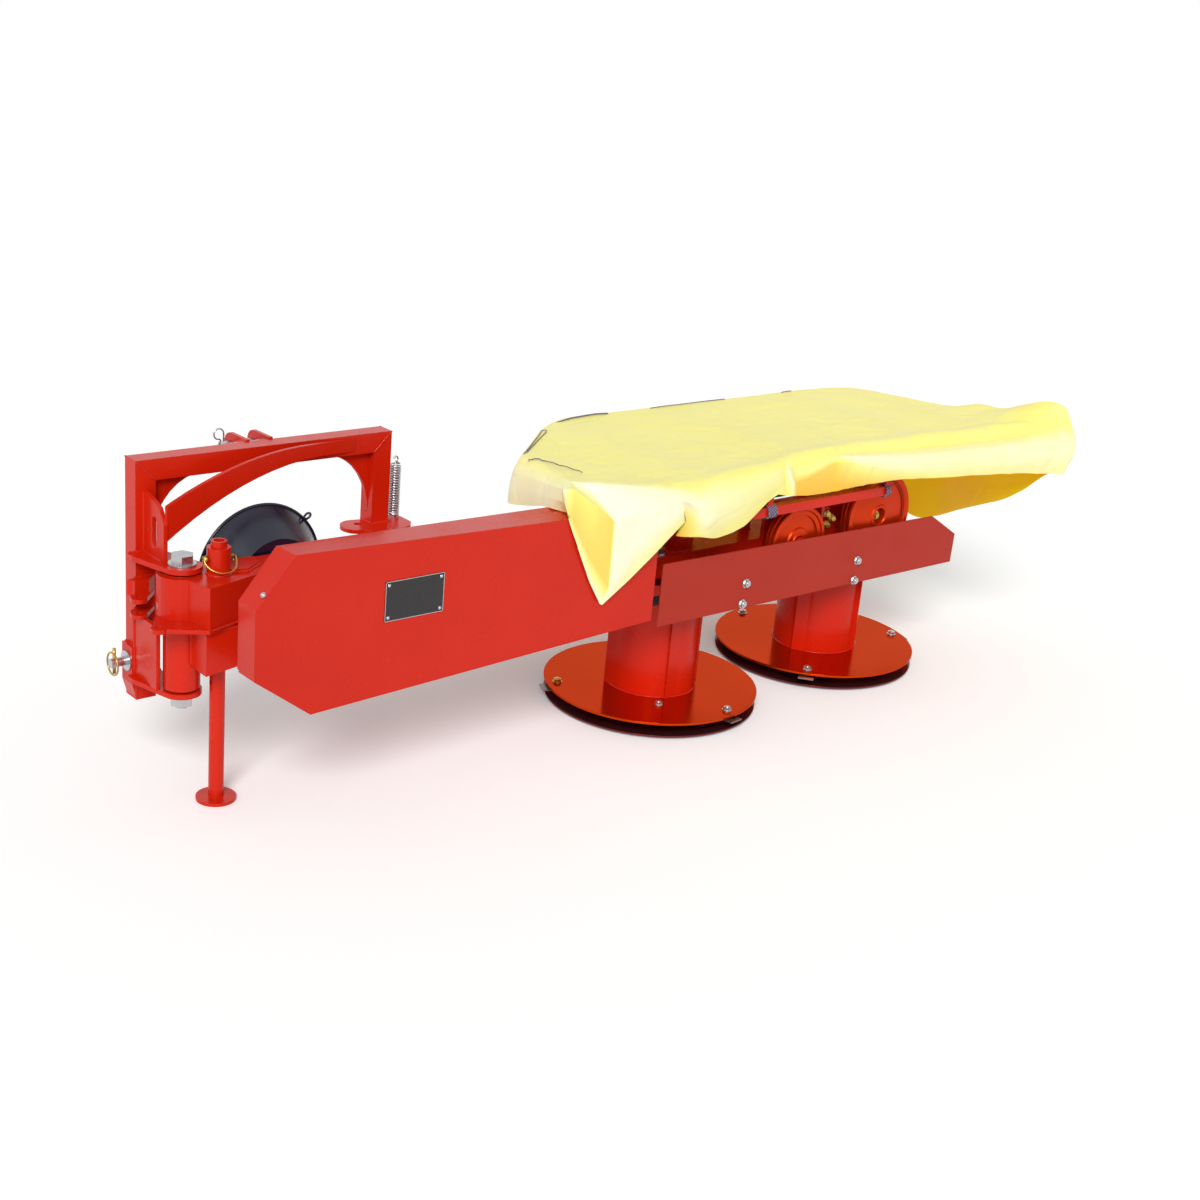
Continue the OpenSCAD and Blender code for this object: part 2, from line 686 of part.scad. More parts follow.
rib_r = 136;
shell_t = 5;
module drum(x) {
    // a rib leaves the shell nearly at a tangent and ends in an edge
    foot_r = drum_r - 2;
    foot_a = acos(foot_r / rib_r);
    outline = [[drum_r - 3, 0], [rib_r, 0], [foot_r * cos(foot_a), foot_r * sin(foot_a)],
        [(drum_r - 3.5) * cos(foot_a / 2), (drum_r - 3.5) * sin(foot_a / 2)]];
    color(paint) translate([x, 0, disc_z]) {
        difference() {
            cylinder(r = drum_r, h = drum_top - disc_z);
            translate([0, 0, 6]) cylinder(r = drum_r - shell_t, h = drum_top);
            translate([0, 0, -1]) cylinder(r = spindle_r + 1, h = 20);
        }
        for (i = [0:rib_count - 1]) rotate([0, 0, rib_turn[x == 0 ? 0 : 1] + i * 360 / rib_count])
            linear_extrude(drum_top - disc_z - 1) polygon(outline);
    }
}
rib_turn = [-115, -77];

disc_t = 6;
module disc(x) color(paint)
    translate([x, 0, disc_z - disc_t]) difference() {
        cylinder(r = disc_r, h = disc_t);
        translate([0, 0, -1]) cylinder(r = spindle_r + 2, h = disc_t + 2);
    }

knife_r = 316;
knife_pin_r = 269;
module knives(x, turn) {
    color(steel) translate([x, 0, 0]) for (i = [0:2]) rotate([0, 0, turn + i * 120]) {
        translate([knife_pin_r - 52, -22, disc_z - 14]) cube([knife_r - knife_pin_r + 52, 44, 4]);
        translate([knife_pin_r, 0, disc_z - 22]) cylinder(r = 9, h = 22 - disc_t);
    }
}

module dish(x) color(paint_dark)
    translate([x, 0, 0]) rotate_extrude() polygon([[0, 0], [200, 0], [disc_r - 2, 6], [disc_r - 2, 10],
        [198, 5], [60, 5], [60, 30], [spindle_r + run_fit, 30], [spindle_r + run_fit, 6], [0, 6]]);

module drum_1() stage() drum(0);
module disc_1() stage() disc(0);
module knives_1() stage() knives(0, 36);
module dish_1() stage() dish(0);
module drum_2() stage() drum(drum_pitch);
module disc_2() stage() disc(drum_pitch);
module knives_2() stage() knives(drum_pitch, 99);
module dish_2() stage() dish(drum_pitch);

top_bar();
left_post();
right_post();
arch_gussets();
diagonal_brace();
cheek_plate();
hinge_fork();
lock_ears();
lower_pins();
top_link_ears();
top_link_pin();
latch_plate();
latch_spring();
hinge_bolt();
hinge_sleeve();
arm_beam();
arm_web();
stand_socket();
bearing_housing();
pto_cone();
guard_back();
guard_cover();
nameplate();
drum_panel();
head_beam();
gearbox_left();
gearbox_right();
canopy_rails();
canopy_bows();
canopy_posts();
canopy();
tensioner();
drive_belts();
stand_leg();
pto_shaft();
driven_pulley();
idler_pulley();
drum_1();
disc_1();
knives_1();
dish_1();
drum_2();
disc_2();
knives_2();
dish_2();
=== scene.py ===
import math
import random
from functools import partial

import bmesh
import bpy
import numpy as np
from mathutils import Matrix, Vector, noise


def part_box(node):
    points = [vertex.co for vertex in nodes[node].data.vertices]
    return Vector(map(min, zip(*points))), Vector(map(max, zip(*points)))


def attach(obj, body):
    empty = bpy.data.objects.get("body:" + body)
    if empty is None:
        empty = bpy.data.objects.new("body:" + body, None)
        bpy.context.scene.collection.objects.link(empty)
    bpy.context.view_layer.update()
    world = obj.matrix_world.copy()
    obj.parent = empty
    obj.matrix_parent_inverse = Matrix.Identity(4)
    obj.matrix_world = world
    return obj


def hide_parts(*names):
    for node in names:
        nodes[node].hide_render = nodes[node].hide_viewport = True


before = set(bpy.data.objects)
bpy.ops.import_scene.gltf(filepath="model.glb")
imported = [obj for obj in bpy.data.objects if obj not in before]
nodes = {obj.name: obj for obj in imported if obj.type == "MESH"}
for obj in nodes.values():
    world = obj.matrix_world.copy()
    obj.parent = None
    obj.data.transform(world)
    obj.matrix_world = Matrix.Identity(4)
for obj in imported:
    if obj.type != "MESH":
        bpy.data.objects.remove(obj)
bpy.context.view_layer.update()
discLow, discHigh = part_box("disc_1")
drumAxis = (discLow + discHigh) / 2  # the left drum's axis, from which places are measured
drumPitch = 675  # from the left drum to the right one, in millimetres
xAxis, yAxis, zAxis = Vector((1, 0, 0)), Vector((0, 1, 0)), Vector((0, 0, 1))
print("frame loaded,", len(nodes), "nodes")


def place(x, y, z):
    # millimetres from the left drum's axis and from the floor
    return Vector((drumAxis.x + x / 1000, drumAxis.y + y / 1000, z / 1000))


# ---- camera, light and floor ----

viewPoint = {
    "position": (-3187.5, -3258.3, 1910.2),
    "heading": 42.35,  # degrees to the right of straight ahead
    "downTilt": 19.8,
    "roll": 5.24,
    "lens": 52.5,
    "sensor": 36,
}


def makeCamera(spec):
    heading, tilt, roll = (math.radians(spec[k]) for k in ("heading", "downTilt", "roll"))
    forward = Vector((math.sin(heading) * math.cos(tilt), math.cos(heading) * math.cos(tilt), -math.sin(tilt)))
    side = Vector((math.cos(heading), -math.sin(heading), 0))
    up = side.cross(forward)
    right = math.cos(roll) * side + math.sin(roll) * up
    top = -math.sin(roll) * side + math.cos(roll) * up
    camera = bpy.data.objects.new("camera", bpy.data.cameras.new("camera"))
    camera.data.sensor_width = spec["sensor"]
    camera.data.lens = spec["lens"]
    camera.data.clip_end = 100
    turn = Matrix((right, top, -forward)).transposed().to_4x4()
    camera.matrix_world = Matrix.Translation(place(*spec["position"])) @ turn
    bpy.context.scene.collection.objects.link(camera)
    bpy.context.scene.camera = camera


makeCamera(viewPoint)

studio = {
    "keyStrength": 2.42,
    "keyFrom": (-0.62, -0.66, 0.68),  # the lamp stands to the left, in front and above
    "keyAngle": 24,  # degrees across, which makes the shadows soft
    "fill": 0.5,  # light from all round
    "floor": "#fefefd",
    "floorLift": 0.07,  # how much paler the floor is seen than it lights
    "floorReach": 30,  # metres from the middle to each edge
    "floorDrop": 0.0006,  # keeps the floor just under the faces that stand on it
}


def fillSockets(node, values=None, links=None):
    # a link's source is an output socket, or a node for its first output
    for socket, value in (values or {}).items():
        node.inputs[socket].default_value = value
    for socket, source in (links or {}).items():
        output = source.outputs[0] if isinstance(source, bpy.types.Node) else source
        node.id_data.links.new(output, node.inputs[socket])
    return node


def addNode(tree, kind, values=None, links=None, **settings):
    node = tree.nodes.new(kind)
    for name, value in settings.items():
        setattr(node, name, value)
    return fillSockets(node, values, links)


def srgb(code):
    parts = [int(code[i : i + 2], 16) / 255 for i in (1, 3, 5)]
    return tuple(c / 12.92 if c <= 0.04045 else ((c + 0.055) / 1.055) ** 2.4 for c in parts) + (1.0,)


def newMaterial(name):
    # the material, its shader, and addNode for its tree
    material = bpy.data.materials.new(name)
    material.use_nodes = True
    tree = material.node_tree
    return material, tree.nodes["Principled BSDF"], partial(addNode, tree)


def seenRays(add):
    # 1 on the rays by which the camera, gloss and glass see the surroundings, 0 on the rays that only light things
    path = add("ShaderNodeLightPath").outputs
    seen = path["Is Camera Ray"]
    for other in ("Is Glossy Ray", "Is Transmission Ray"):
        seen = add("ShaderNodeMath", None, {0: seen, 1: path[other]}, operation="MAXIMUM")
    return seen


def makeStudio(spec):
    sun = bpy.data.lights.new("key", "SUN")
    sun.energy = spec["keyStrength"]
    sun.angle = math.radians(spec["keyAngle"])
    lamp = bpy.data.objects.new("key", sun)
    lamp.rotation_mode = "QUATERNION"
    lamp.rotation_quaternion = Vector(spec["keyFrom"]).to_track_quat("Z", "Y")
    bpy.context.scene.collection.objects.link(lamp)

    world = bpy.data.worlds.new("studio")
    world.use_nodes = True
    world.node_tree.nodes.clear()
    add = partial(addNode, world.node_tree)
    strength = add("ShaderNodeMapRange", {"To Min": spec["fill"], "To Max": 1.0}, {"Value": seenRays(add)})
    sky = add("ShaderNodeBackground", {"Color": (1, 1, 1, 1)}, {"Strength": strength})
    add("ShaderNodeOutputWorld", None, {"Surface": sky})
    bpy.context.scene.world = world
    bpy.context.scene.view_settings.view_transform = "Standard"

    reach = spec["floorReach"]
    corners = [(x * reach, y * reach, -spec["floorDrop"]) for x, y in ((-1, -1), (1, -1), (1, 1), (-1, 1))]
    mesh = bpy.data.meshes.new("floor")
    mesh.from_pydata(corners, [], [(0, 1, 2, 3)])
    floor = bpy.data.objects.new("floor", mesh)
    material, shader, add = newMaterial("studio floor")
    # the floor is seen a little whiter than it lights, so it runs into the background
    whiter = add("ShaderNodeMath", {1: spec["floorLift"]}, {0: seenRays(add)}, operation="MULTIPLY")
    fillSockets(shader, {"Base Color": srgb(spec["floor"]), "Roughness": 0.85, "Emission Color": (1, 1, 1, 1)},
                {"Emission Strength": whiter})
    mesh.materials.append(material)
    bpy.context.scene.collection.objects.link(floor)


makeStudio(studio)
print("camera and light made")

# ---- materials ----


def driftFinish(add, shader, pattern, colours, gloss=None, span=(0.3, 0.7)):
    # colour, and roughness where gloss is given, drift between two values with the pattern
    tone = add("ShaderNodeMix", {6: srgb(colours[0]), 7: srgb(colours[1])}, {0: pattern}, data_type="RGBA")
    fillSockets(shader, None, {"Base Color": tone.outputs[2]})
    if gloss:
        limits = {"From Min": span[0], "From Max": span[1], "To Min": gloss[0], "To Max": gloss[1]}
        fillSockets(shader, None, {"Roughness": add("ShaderNodeMapRange", limits, {"Value": pattern})})


def sprayedEnamel(name, colour, deep, roughness, coat=0.0, waves=0.0012, peel=0.00016, metal=0.0, sheen="#ffffff"):
    # alkyd machine enamel sprayed over steel: a wet gloss, orange peel a few millimetres wide, sheet steel that
    # waves a little, fine dust in the film; with metal the film is so thin that the steel under it mirrors through it
    material, shader, add = newMaterial(name)
    coords = add("ShaderNodeTexCoord").outputs["Object"]
    # noise of four sizes in metres, each with its detail
    broad, veil, dents, fine = (
        add("ShaderNodeTexNoise", {"Scale": 1 / size, "Detail": detail, "Roughness": 0.55}, {"Vector": coords})
        for size, detail in ((0.31, 2), (0.09, 4), (0.14, 1), (0.0045, 2)))
    tone = add("ShaderNodeMix", {6: srgb(deep), 7: srgb(colour)}, {0: broad}, data_type="RGBA")
    specks = add("ShaderNodeTexVoronoi", {"Scale": 1 / 0.009}, {"Vector": coords}, feature="F1")
    dust = add("ShaderNodeMapRange", {"From Max": 0.12, "To Min": 0.12, "To Max": 0.0}, {"Value": specks})
    dusty = add("ShaderNodeMath", None, {0: dust, 1: veil}, operation="MULTIPLY")
    worn = add("ShaderNodeMix", {7: srgb("#d98a7c")}, {0: dusty, 6: tone.outputs[2]}, data_type="RGBA")
    limits = {"From Min": 0.3, "From Max": 0.7, "To Min": roughness - 0.05, "To Max": roughness + 0.08}
    gloss = add("ShaderNodeMapRange", limits, {"Value": veil})
    relief = add("ShaderNodeBevel", {"Radius": 0.0016}, samples=4)
    for height, strength, depth in ((dents, 0.35, waves), (fine, 0.4, peel)):
        relief = add("ShaderNodeBump", {"Strength": strength, "Distance": depth}, {"Height": height, "Normal": relief})
    fillSockets(shader,
                {"Metallic": metal, "Specular Tint": srgb(sheen), "Coat Weight": coat, "Coat Roughness": 0.04},
                {"Base Color": worn.outputs[2], "Roughness": gloss, "Normal": relief})
    if not metal:
        shader.inputs["IOR"].default_value = 1.28  # enamel is nearer 1.5, but this coat mirrors little
    return material


def platedSteel(name, colour, stain, roughness, patch=0.02):
    # electroplated zinc on turned and forged steel: bright grey metal, cloudy where the passivation varies
    material, shader, add = newMaterial(name)
    coords = add("ShaderNodeTexCoord").outputs["Object"]
    cloud, pores = (
        add("ShaderNodeTexNoise", {"Scale": 1 / size, "Detail": detail, "Roughness": 0.55}, {"Vector": coords})
        for size, detail in ((patch, 4), (0.002, 3)))
    driftFinish(add, shader, cloud, (stain, colour), (roughness - 0.08, roughness + 0.1))
    edge = add("ShaderNodeBevel", {"Radius": 0.0008}, samples=4)
    pits = add("ShaderNodeBump", {"Strength": 0.3, "Distance": 0.0001}, {"Height": pores, "Normal": edge})
    fillSockets(shader, {"Metallic": 1.0}, {"Normal": pits})
    return material


def mouldedPlastic(name, colours, roughness, grain):
    # injection-moulded polypropylene: deep even colour, satin skin with a fine grain from the mould
    material, shader, add = newMaterial(name)
    coords = add("ShaderNodeTexCoord").outputs["Object"]
    cloud, pores = (
        add("ShaderNodeTexNoise", {"Scale": 1 / size, "Detail": detail, "Roughness": 0.55}, {"Vector": coords})
        for size, detail in ((0.06, 3), (grain, 2)))
    driftFinish(add, shader, cloud, colours, (roughness - 0.06, roughness + 0.08))
    skin = add("ShaderNodeBump", {"Strength": 0.25, "Distance": 0.00015}, {"Height": pores})
    fillSockets(shader, None, {"Normal": skin})
    return material


def threadedStuff(name, colours, pitch, distortion, direction, depth, strength, roughness):
    # threads that lie side by side, every pitch metres in two colours, with a dull surface
    material, shader, add = newMaterial(name)
    coords = add("ShaderNodeTexCoord").outputs["Object"]
    threads = add("ShaderNodeTexWave", {"Scale": 1 / pitch, "Distortion": distortion}, {"Vector": coords},
                  bands_direction=direction).outputs["Fac"]
    driftFinish(add, shader, threads, colours)
    bump = add("ShaderNodeBump", {"Strength": strength, "Distance": depth}, {"Height": threads})
    fillSockets(shader, {"Roughness": roughness}, {"Normal": bump})
    return material


def coatedTarpaulin(name, colour, deep, roughness, scatter, through, litAndShadedColours=()):
    # PVC-coated polyester: satin yellow film over a 1 mm weave, creased from being packed flat, light comes through it;
    # with the two given colours it is painted paler, painted light, where its tone is over 0, and painted amber,
    # painted shade, where it is under 0
    material, shader, add = newMaterial(name)
    coords = add("ShaderNodeTexCoord").outputs["Object"]
    shift = add("ShaderNodeTexNoise", {"Scale": 5, "Detail": 2}, {"Vector": coords}).outputs["Color"]
    bent = add("ShaderNodeVectorMath", {1: (0.09, 0.09, 0.09)}, {0: shift}, operation="MULTIPLY")
    where = add("ShaderNodeVectorMath", None, {0: coords, 1: bent}, operation="ADD")
    stretch = add("ShaderNodeMapping", {"Scale": (0.55, 1, 1), "Rotation": (0, 0, 0.35)}, {"Vector": where})
    crease = add("ShaderNodeTexVoronoi", {"Scale": 1 / 0.13}, {"Vector": stretch}, feature="DISTANCE_TO_EDGE")
    ridge = add("ShaderNodeMapRange", {"From Max": 0.09}, {"Value": crease}, interpolation_type="SMOOTHSTEP")
    soft = add("ShaderNodeTexNoise", {"Scale": 1 / 0.055, "Detail": 3, "Roughness": 0.55}, {"Vector": stretch})
    # drawn coarser than the real weave, which would be too fine to show
    warp, weft = (add("ShaderNodeTexWave", {"Scale": 1 / 0.012}, {"Vector": coords}, bands_direction=way)
                  for way in ("X", "Y"))
    weave = add("ShaderNodeMath", None, {0: warp.outputs["Fac"], 1: weft.outputs["Fac"]}, operation="MULTIPLY")
    relief = add("ShaderNodeBump", {"Strength": 0.22, "Distance": 0.004}, {"Height": ridge})
    for height, strength, depth in ((soft, 0.25, 0.006), (weave, 0.12, 0.0003)):
        relief = add("ShaderNodeBump", {"Strength": strength, "Distance": depth}, {"Height": height, "Normal": relief})
    broad = add("ShaderNodeTexNoise", {"Scale": 1 / 0.22, "Detail": 2, "Roughness": 0.55}, {"Vector": coords})
    tone = add("ShaderNodeMix", {6: srgb(deep), 7: srgb(colour)}, {0: broad}, data_type="RGBA")
    # painted shade: the deeper yellow is mixed in along the creases
    line = add("ShaderNodeMapRange", {"From Max": 0.02, "To Min": 0.22, "To Max": 0.0}, {"Value": crease})
    last = add("ShaderNodeMix", {7: srgb(deep)}, {0: line, 6: tone.outputs[2]}, data_type="RGBA")
    # painted light and shade: the tone attribute mixes in a pale colour for light and an amber one for shade
    painted = add("ShaderNodeAttribute", attribute_name="tone") if litAndShadedColours else None
    for limit, code in zip((1.0, -1.0), litAndShadedColours):
        share = add("ShaderNodeMapRange", {"From Max": limit}, {"Value": painted.outputs["Fac"]})
        last = add("ShaderNodeMix", {7: srgb(code)}, {0: share, 6: last.outputs[2]}, data_type="RGBA")
    fillSockets(shader,
                {"Roughness": roughness, "Subsurface Weight": scatter, "Subsurface Radius": through,
                 "Subsurface Scale": 1.0, "Sheen Weight": 0.1},
                {"Base Color": last.outputs[2], "Normal": relief})
    return material


def printedPlate():
    # anodised aluminium plate filled with black print: even black, satin, scratched very lightly
    material, shader, add = newMaterial("black printed aluminium")
    coords = add("ShaderNodeTexCoord").outputs["Object"]
    along = add("ShaderNodeMapping", {"Scale": (0.06, 1, 1)}, {"Vector": coords})
    scratch = add("ShaderNodeTexNoise", {"Scale": 260, "Detail": 2}, {"Vector": along})
    driftFinish(add, shader, scratch, ("#131214", "#201d20"), (0.24, 0.42), (0.35, 0.7))
    return material


polished = {"waves": 0.0006, "peel": 0.00006}  # flatter than the sprayed frame
enamel = sprayedEnamel("red sprayed enamel", "#cd2409", "#bd1b06", 0.24, coat=0.05)
# partly painted reflection: the discs' own red enamel made more orange, and its mirror tinted orange, for the yellow
# canopy that they mirror
discEnamelCanopyGlow = sprayedEnamel("thin red enamel over polished steel", "#cf4208", "#bb3506", 0.14,
                           metal=0.9, sheen="#e4b8a4", **polished)
# painted shade: a darker copy of the discs' enamel, dark for the shade that the dish mirrors under the disc
dishEnamelPaintedShade = sprayedEnamel("red enamel over polished steel with painted shade", "#7a3436", "#5a2226", 0.12, coat=0.3,
                           metal=0.7, sheen="#c08a88", **polished)
panelEnamel = sprayedEnamel("red enamel, dry coat", "#ac2d1c", "#a22718", 0.45)
# partly painted light: the pulleys' own red enamel made more orange, with an orange reflection tint, for the yellow
# canopy's light on them
pulleyEnamelCanopyGlow = sprayedEnamel("red pulley enamel with painted canopy glow", "#d63c04", "#c02a04", 0.34, metal=0.6, sheen="#ecb89c")
zinc = platedSteel("bright zinc plating", "#cfd1d4", "#a9abae", 0.3)
yellowZinc = platedSteel("yellow chromate zinc plating", "#d8b45a", "#9a7a34", 0.3, 0.008)
drawnSteel = platedSteel("drawn steel", "#8d8b88", "#6f6a64", 0.38)
plateBright = platedSteel("bright anodised aluminium", "#d9dadb", "#b9babc", 0.25)
shieldPlastic = mouldedPlastic("black polypropylene", ("#0a0f20", "#161c30"), 0.22, 0.003)
# chloroprene V-belt in a woven jacket: dull black, threads across the belt, drawn coarse enough to show
rubber = threadedStuff("chloroprene belt", ("#1a1a1b", "#2c2b2b"), 0.0065, 0.6, "X", 0.0002, 0.4, 0.78)
# braided polypropylene cord: short plaits in two dark colours, dull and slightly hairy
cordStuff = threadedStuff("braided polypropylene cord", ("#3a3346", "#8f889c"), 0.016, 1.5, "DIAGONAL",
                          0.0008, 0.6, 0.8)
# its two shade colours are painted light, pale on the faces that the light strikes, and painted shade, amber in folds
# that turn away
tarpOut = coatedTarpaulin("yellow coated tarpaulin", "#fdf38a", "#fbec74", 0.42, 0.25, (0.012, 0.008, 0.001),
                          ("#fefad0", "#f9b40c"))
tarpIn = coatedTarpaulin("tarpaulin underside", "#ffc60a", "#fbb603", 0.5, 1.0, (0.02, 0.008, 0.0003))
plateBlack = printedPlate()

nodeFinish = {
    "hinge_bolt": zinc, "top_link_pin": zinc, "latch_spring": zinc, "lower_pins": zinc,
    "pto_shaft": drawnSteel, "knives_1": drawnSteel, "knives_2": drawnSteel,
    "pto_cone": shieldPlastic, "drive_belts": rubber, "nameplate": plateBlack,
    "disc_1": discEnamelCanopyGlow, "disc_2": discEnamelCanopyGlow, "dish_1": dishEnamelPaintedShade, "dish_2": dishEnamelPaintedShade,
    "drum_panel": panelEnamel, "driven_pulley": pulleyEnamelCanopyGlow, "idler_pulley": pulleyEnamelCanopyGlow,
    "canopy": tarpOut,
}
for name, node in nodes.items():
    for materialSlot in node.material_slots:
        materialSlot.material = nodeFinish.get(name, enamel)
print("materials made")

# ---- tools for the pieces ----


def joinedMesh(meshes):
    joined = bmesh.new()
    for mesh in meshes:
        joined.from_mesh(mesh)
    made = bpy.data.meshes.new("joined")
    joined.to_mesh(made)
    joined.free()
    return made


def finishPiece(name, meshes, body, material=None):
    # the meshes as one piece that rides on the body; without a material it keeps the ones that it has
    mesh = meshes[0] if len(meshes) == 1 else joinedMesh(meshes)
    mesh.name = name
    piece = bpy.data.objects.new(name, mesh)
    bpy.context.scene.collection.objects.link(piece)
    if material:
        mesh.materials.clear()
        mesh.materials.append(material)
    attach(piece, body)
    return piece


def meshFrom(points, faces, smooth=True):
    mesh = bpy.data.meshes.new("form")
    mesh.from_pydata([tuple(p) for p in points], [], faces)
    mesh.polygons.foreach_set("use_smooth", [smooth] * len(mesh.polygons))
    mesh.update()
    return mesh


def pathCurve(paths, closed=False):
    curve = bpy.data.curves.new("paths", "CURVE")
    curve.dimensions = "3D"
    for path in paths:
        strand = curve.splines.new("POLY")
        strand.points.add(len(path) - 1)
        strand.points.foreach_set("co", [c for p in path for c in (*p, 1.0)])
        strand.use_cyclic_u = closed
    return curve


def wireMesh(paths, radius, closed=False):
    # round wire bent along each path, radius in millimetres
    curve = pathCurve(paths, closed)
    curve.bevel_depth = radius / 1000
    curve.bevel_resolution = 2
    curve.use_fill_caps = True
    holder = bpy.data.objects.new("wire", curve)
    mesh = bpy.data.meshes.new_from_object(holder)
    bpy.data.objects.remove(holder)
    mesh.polygons.foreach_set("use_smooth", [True] * len(mesh.polygons))
    return mesh


def arc(centre, across, up, radius, degrees):
    # points round the centre in the plane of two directions, radius in millimetres
    return [centre + (across * math.cos(a) + up * math.sin(a)) * radius / 1000 for a in map(math.radians, degrees)]


def evenly(count, start=0, end=360):
    # angles from start to end without the last, which closes a ring
    return [start + (end - start) * i / count for i in range(count)]


def turned(rings, base, axis, sides):
    # a closed solid of revolution through (radius, height) rings along the axis, in millimetres
    side = axis.orthogonal().normalized()
    other = axis.cross(side)
    points = [p for r, h in rings for p in arc(base + axis * h / 1000, side, other, r, evenly(sides))]
    faces = []
    for k in range(len(rings) - 1):
        for i in range(sides):
            j = (i + 1) % sides
            faces.append((k * sides + i, k * sides + j, (k + 1) * sides + j, (k + 1) * sides + i))
    faces.append(tuple(reversed(range(sides))))
    faces.append(tuple((len(rings) - 1) * sides + i for i in range(sides)))
    return meshFrom(points, faces)


def newTree(name, sockets):
    # a node tree with a geometry input, float inputs by name and default, and a material input; addNode for it
    tree = bpy.data.node_groups.new(name, "GeometryNodeTree")
    tree.interface.new_socket("Geometry", in_out="INPUT", socket_type="NodeSocketGeometry")
    for label, value in sockets.items():
        tree.interface.new_socket(label, in_out="INPUT", socket_type="NodeSocketFloat").default_value = value
    tree.interface.new_socket("Material", in_out="INPUT", socket_type="NodeSocketMaterial")
    tree.interface.new_socket("Geometry", in_out="OUTPUT", socket_type="NodeSocketGeometry")
    add = partial(addNode, tree)
    return tree, add, add("NodeGroupInput").outputs


def endTree(add, given, shape, smooth):
    last = add("GeometryNodeRealizeInstances", None, {"Geometry": shape})
    if smooth:
        last = add("GeometryNodeSetShadeSmooth", None, {"Geometry": last})
    dressed = add("GeometryNodeSetMaterial", None, {"Geometry": last, "Material": given["Material"]})
    add("NodeGroupOutput", None, {"Geometry": dressed})


def runTree(tree, data, inputs):
    # the tree's result on that mesh or curve as a plain mesh
    holder = bpy.data.objects.new("run", data)
    bpy.context.scene.collection.objects.link(holder)
    modifier = holder.modifiers.new("build", "NODES")
    modifier.node_group = tree
    for item in tree.interface.items_tree:
        if item.item_type == "SOCKET" and item.in_out == "INPUT" and item.name in inputs:
            modifier[item.identifier] = inputs[item.name]
    bpy.context.view_layer.update()
    result = bpy.data.meshes.new_from_object(holder.evaluated_get(bpy.context.evaluated_depsgraph_get()))
    holder.modifiers.clear()
    bpy.data.objects.remove(holder)
    return result


boltInputs = ("Across Flats", "Head Height", "Washer Radius", "Washer Thickness", "Thread Radius", "Thread Length")


def boltTree():
    # a hexagon head on a washer at every point, standing along the point's aim and scaled by its size
    tree, add, given = newTree("hexagon bolts", dict(zip(boltInputs, (0.013, 0.0055, 0.012, 0.0016, 0.004, 0.003))))
    flats, headHeight, washerRadius, washerThickness, threadRadius, threadLength = (given[k] for k in boltInputs)
    corner = add("ShaderNodeMath", {1: 0.57735}, {0: flats}, operation="MULTIPLY")
    crown = add("ShaderNodeMath", {1: 0.47}, {0: flats}, operation="MULTIPLY")
    head, washer, thread = (
        add("GeometryNodeMeshCylinder", {"Vertices": sides}, {"Radius": radius, "Depth": depth})
        for sides, radius, depth in (
            (6, corner, headHeight), (24, washerRadius, washerThickness), (12, threadRadius, threadLength)))
    cap = add("GeometryNodeMeshCone", {"Vertices": 20, "Depth": 0.0008}, {"Radius Bottom": corner, "Radius Top": crown})
    # the middle height of each, from the face that the washer lies on
    washerMid = add("ShaderNodeMath", {1: 0.5}, {0: washerThickness}, operation="MULTIPLY")
    headMid = add("ShaderNodeMath", {1: 0.5}, {0: headHeight, 2: washerThickness}, operation="MULTIPLY_ADD")
    headTop = add("ShaderNodeMath", None, {0: washerThickness, 1: headHeight}, operation="ADD")
    threadMid = add("ShaderNodeMath", {1: 0.5}, {0: threadLength, 2: headTop}, operation="MULTIPLY_ADD")
    bolt = add("GeometryNodeJoinGeometry")
    for shape, height in ((head, headMid), (washer, washerMid), (thread, threadMid), (cap, headTop)):
        up = add("ShaderNodeCombineXYZ", None, {"Z": height})
        raised = add("GeometryNodeTransform", None, {"Geometry": shape, "Translation": up})
        fillSockets(bolt, None, {0: raised})
    aim = add("GeometryNodeInputNamedAttribute", {"Name": "aim"}, data_type="FLOAT_VECTOR")
    size = add("GeometryNodeInputNamedAttribute", {"Name": "size"}, data_type="FLOAT")
    turn = add("FunctionNodeAlignRotationToVector", None, {"Vector": aim.outputs["Attribute"]}, axis="Z")
    spread = add("GeometryNodeInstanceOnPoints", None, {
        "Points": given["Geometry"], "Instance": bolt, "Rotation": turn, "Scale": size.outputs["Attribute"]})
    endTree(add, given, spread, False)
    return tree


def weldTree():
    # a bead along every path: short ripples and a little unevenness
    tree, add, given = newTree("weld beads", {"Bead Radius": 0.004, "Ripple Length": 0.005})
    step = add("ShaderNodeMath", {1: 0.3334}, {0: given["Ripple Length"]}, operation="MULTIPLY")
    fine = add("GeometryNodeResampleCurve", None, {"Curve": given["Geometry"], "Length": step}, mode="LENGTH")
    along = add("GeometryNodeSplineParameter").outputs["Length"]
    turns = add("ShaderNodeMath", None, {0: along, 1: given["Ripple Length"]}, operation="DIVIDE")
    saw = add("ShaderNodeMath", None, {0: turns}, operation="FRACT")
    ripple = add("ShaderNodeMapRange", {"To Min": 0.82, "To Max": 1.08}, {"Value": saw})
    uneven = add("ShaderNodeTexNoise", {"Scale": 45, "Detail": 1})
    limits = {"From Min": 0.3, "From Max": 0.7, "To Min": 0.8, "To Max": 1.2}
    swell = add("ShaderNodeMapRange", limits, {"Value": uneven})
    both = add("ShaderNodeMath", None, {0: ripple, 1: swell}, operation="MULTIPLY")
    radius = add("ShaderNodeMath", None, {0: both, 1: given["Bead Radius"]}, operation="MULTIPLY")
    ring = add("GeometryNodeCurvePrimitiveCircle", {"Resolution": 8, "Radius": 1.0})
    bead = add("GeometryNodeCurveToMesh", {"Fill Caps": True}, {"Curve": fine, "Profile Curve": ring, "Scale": radius})
    endTree(add, given, bead, True)
    return tree


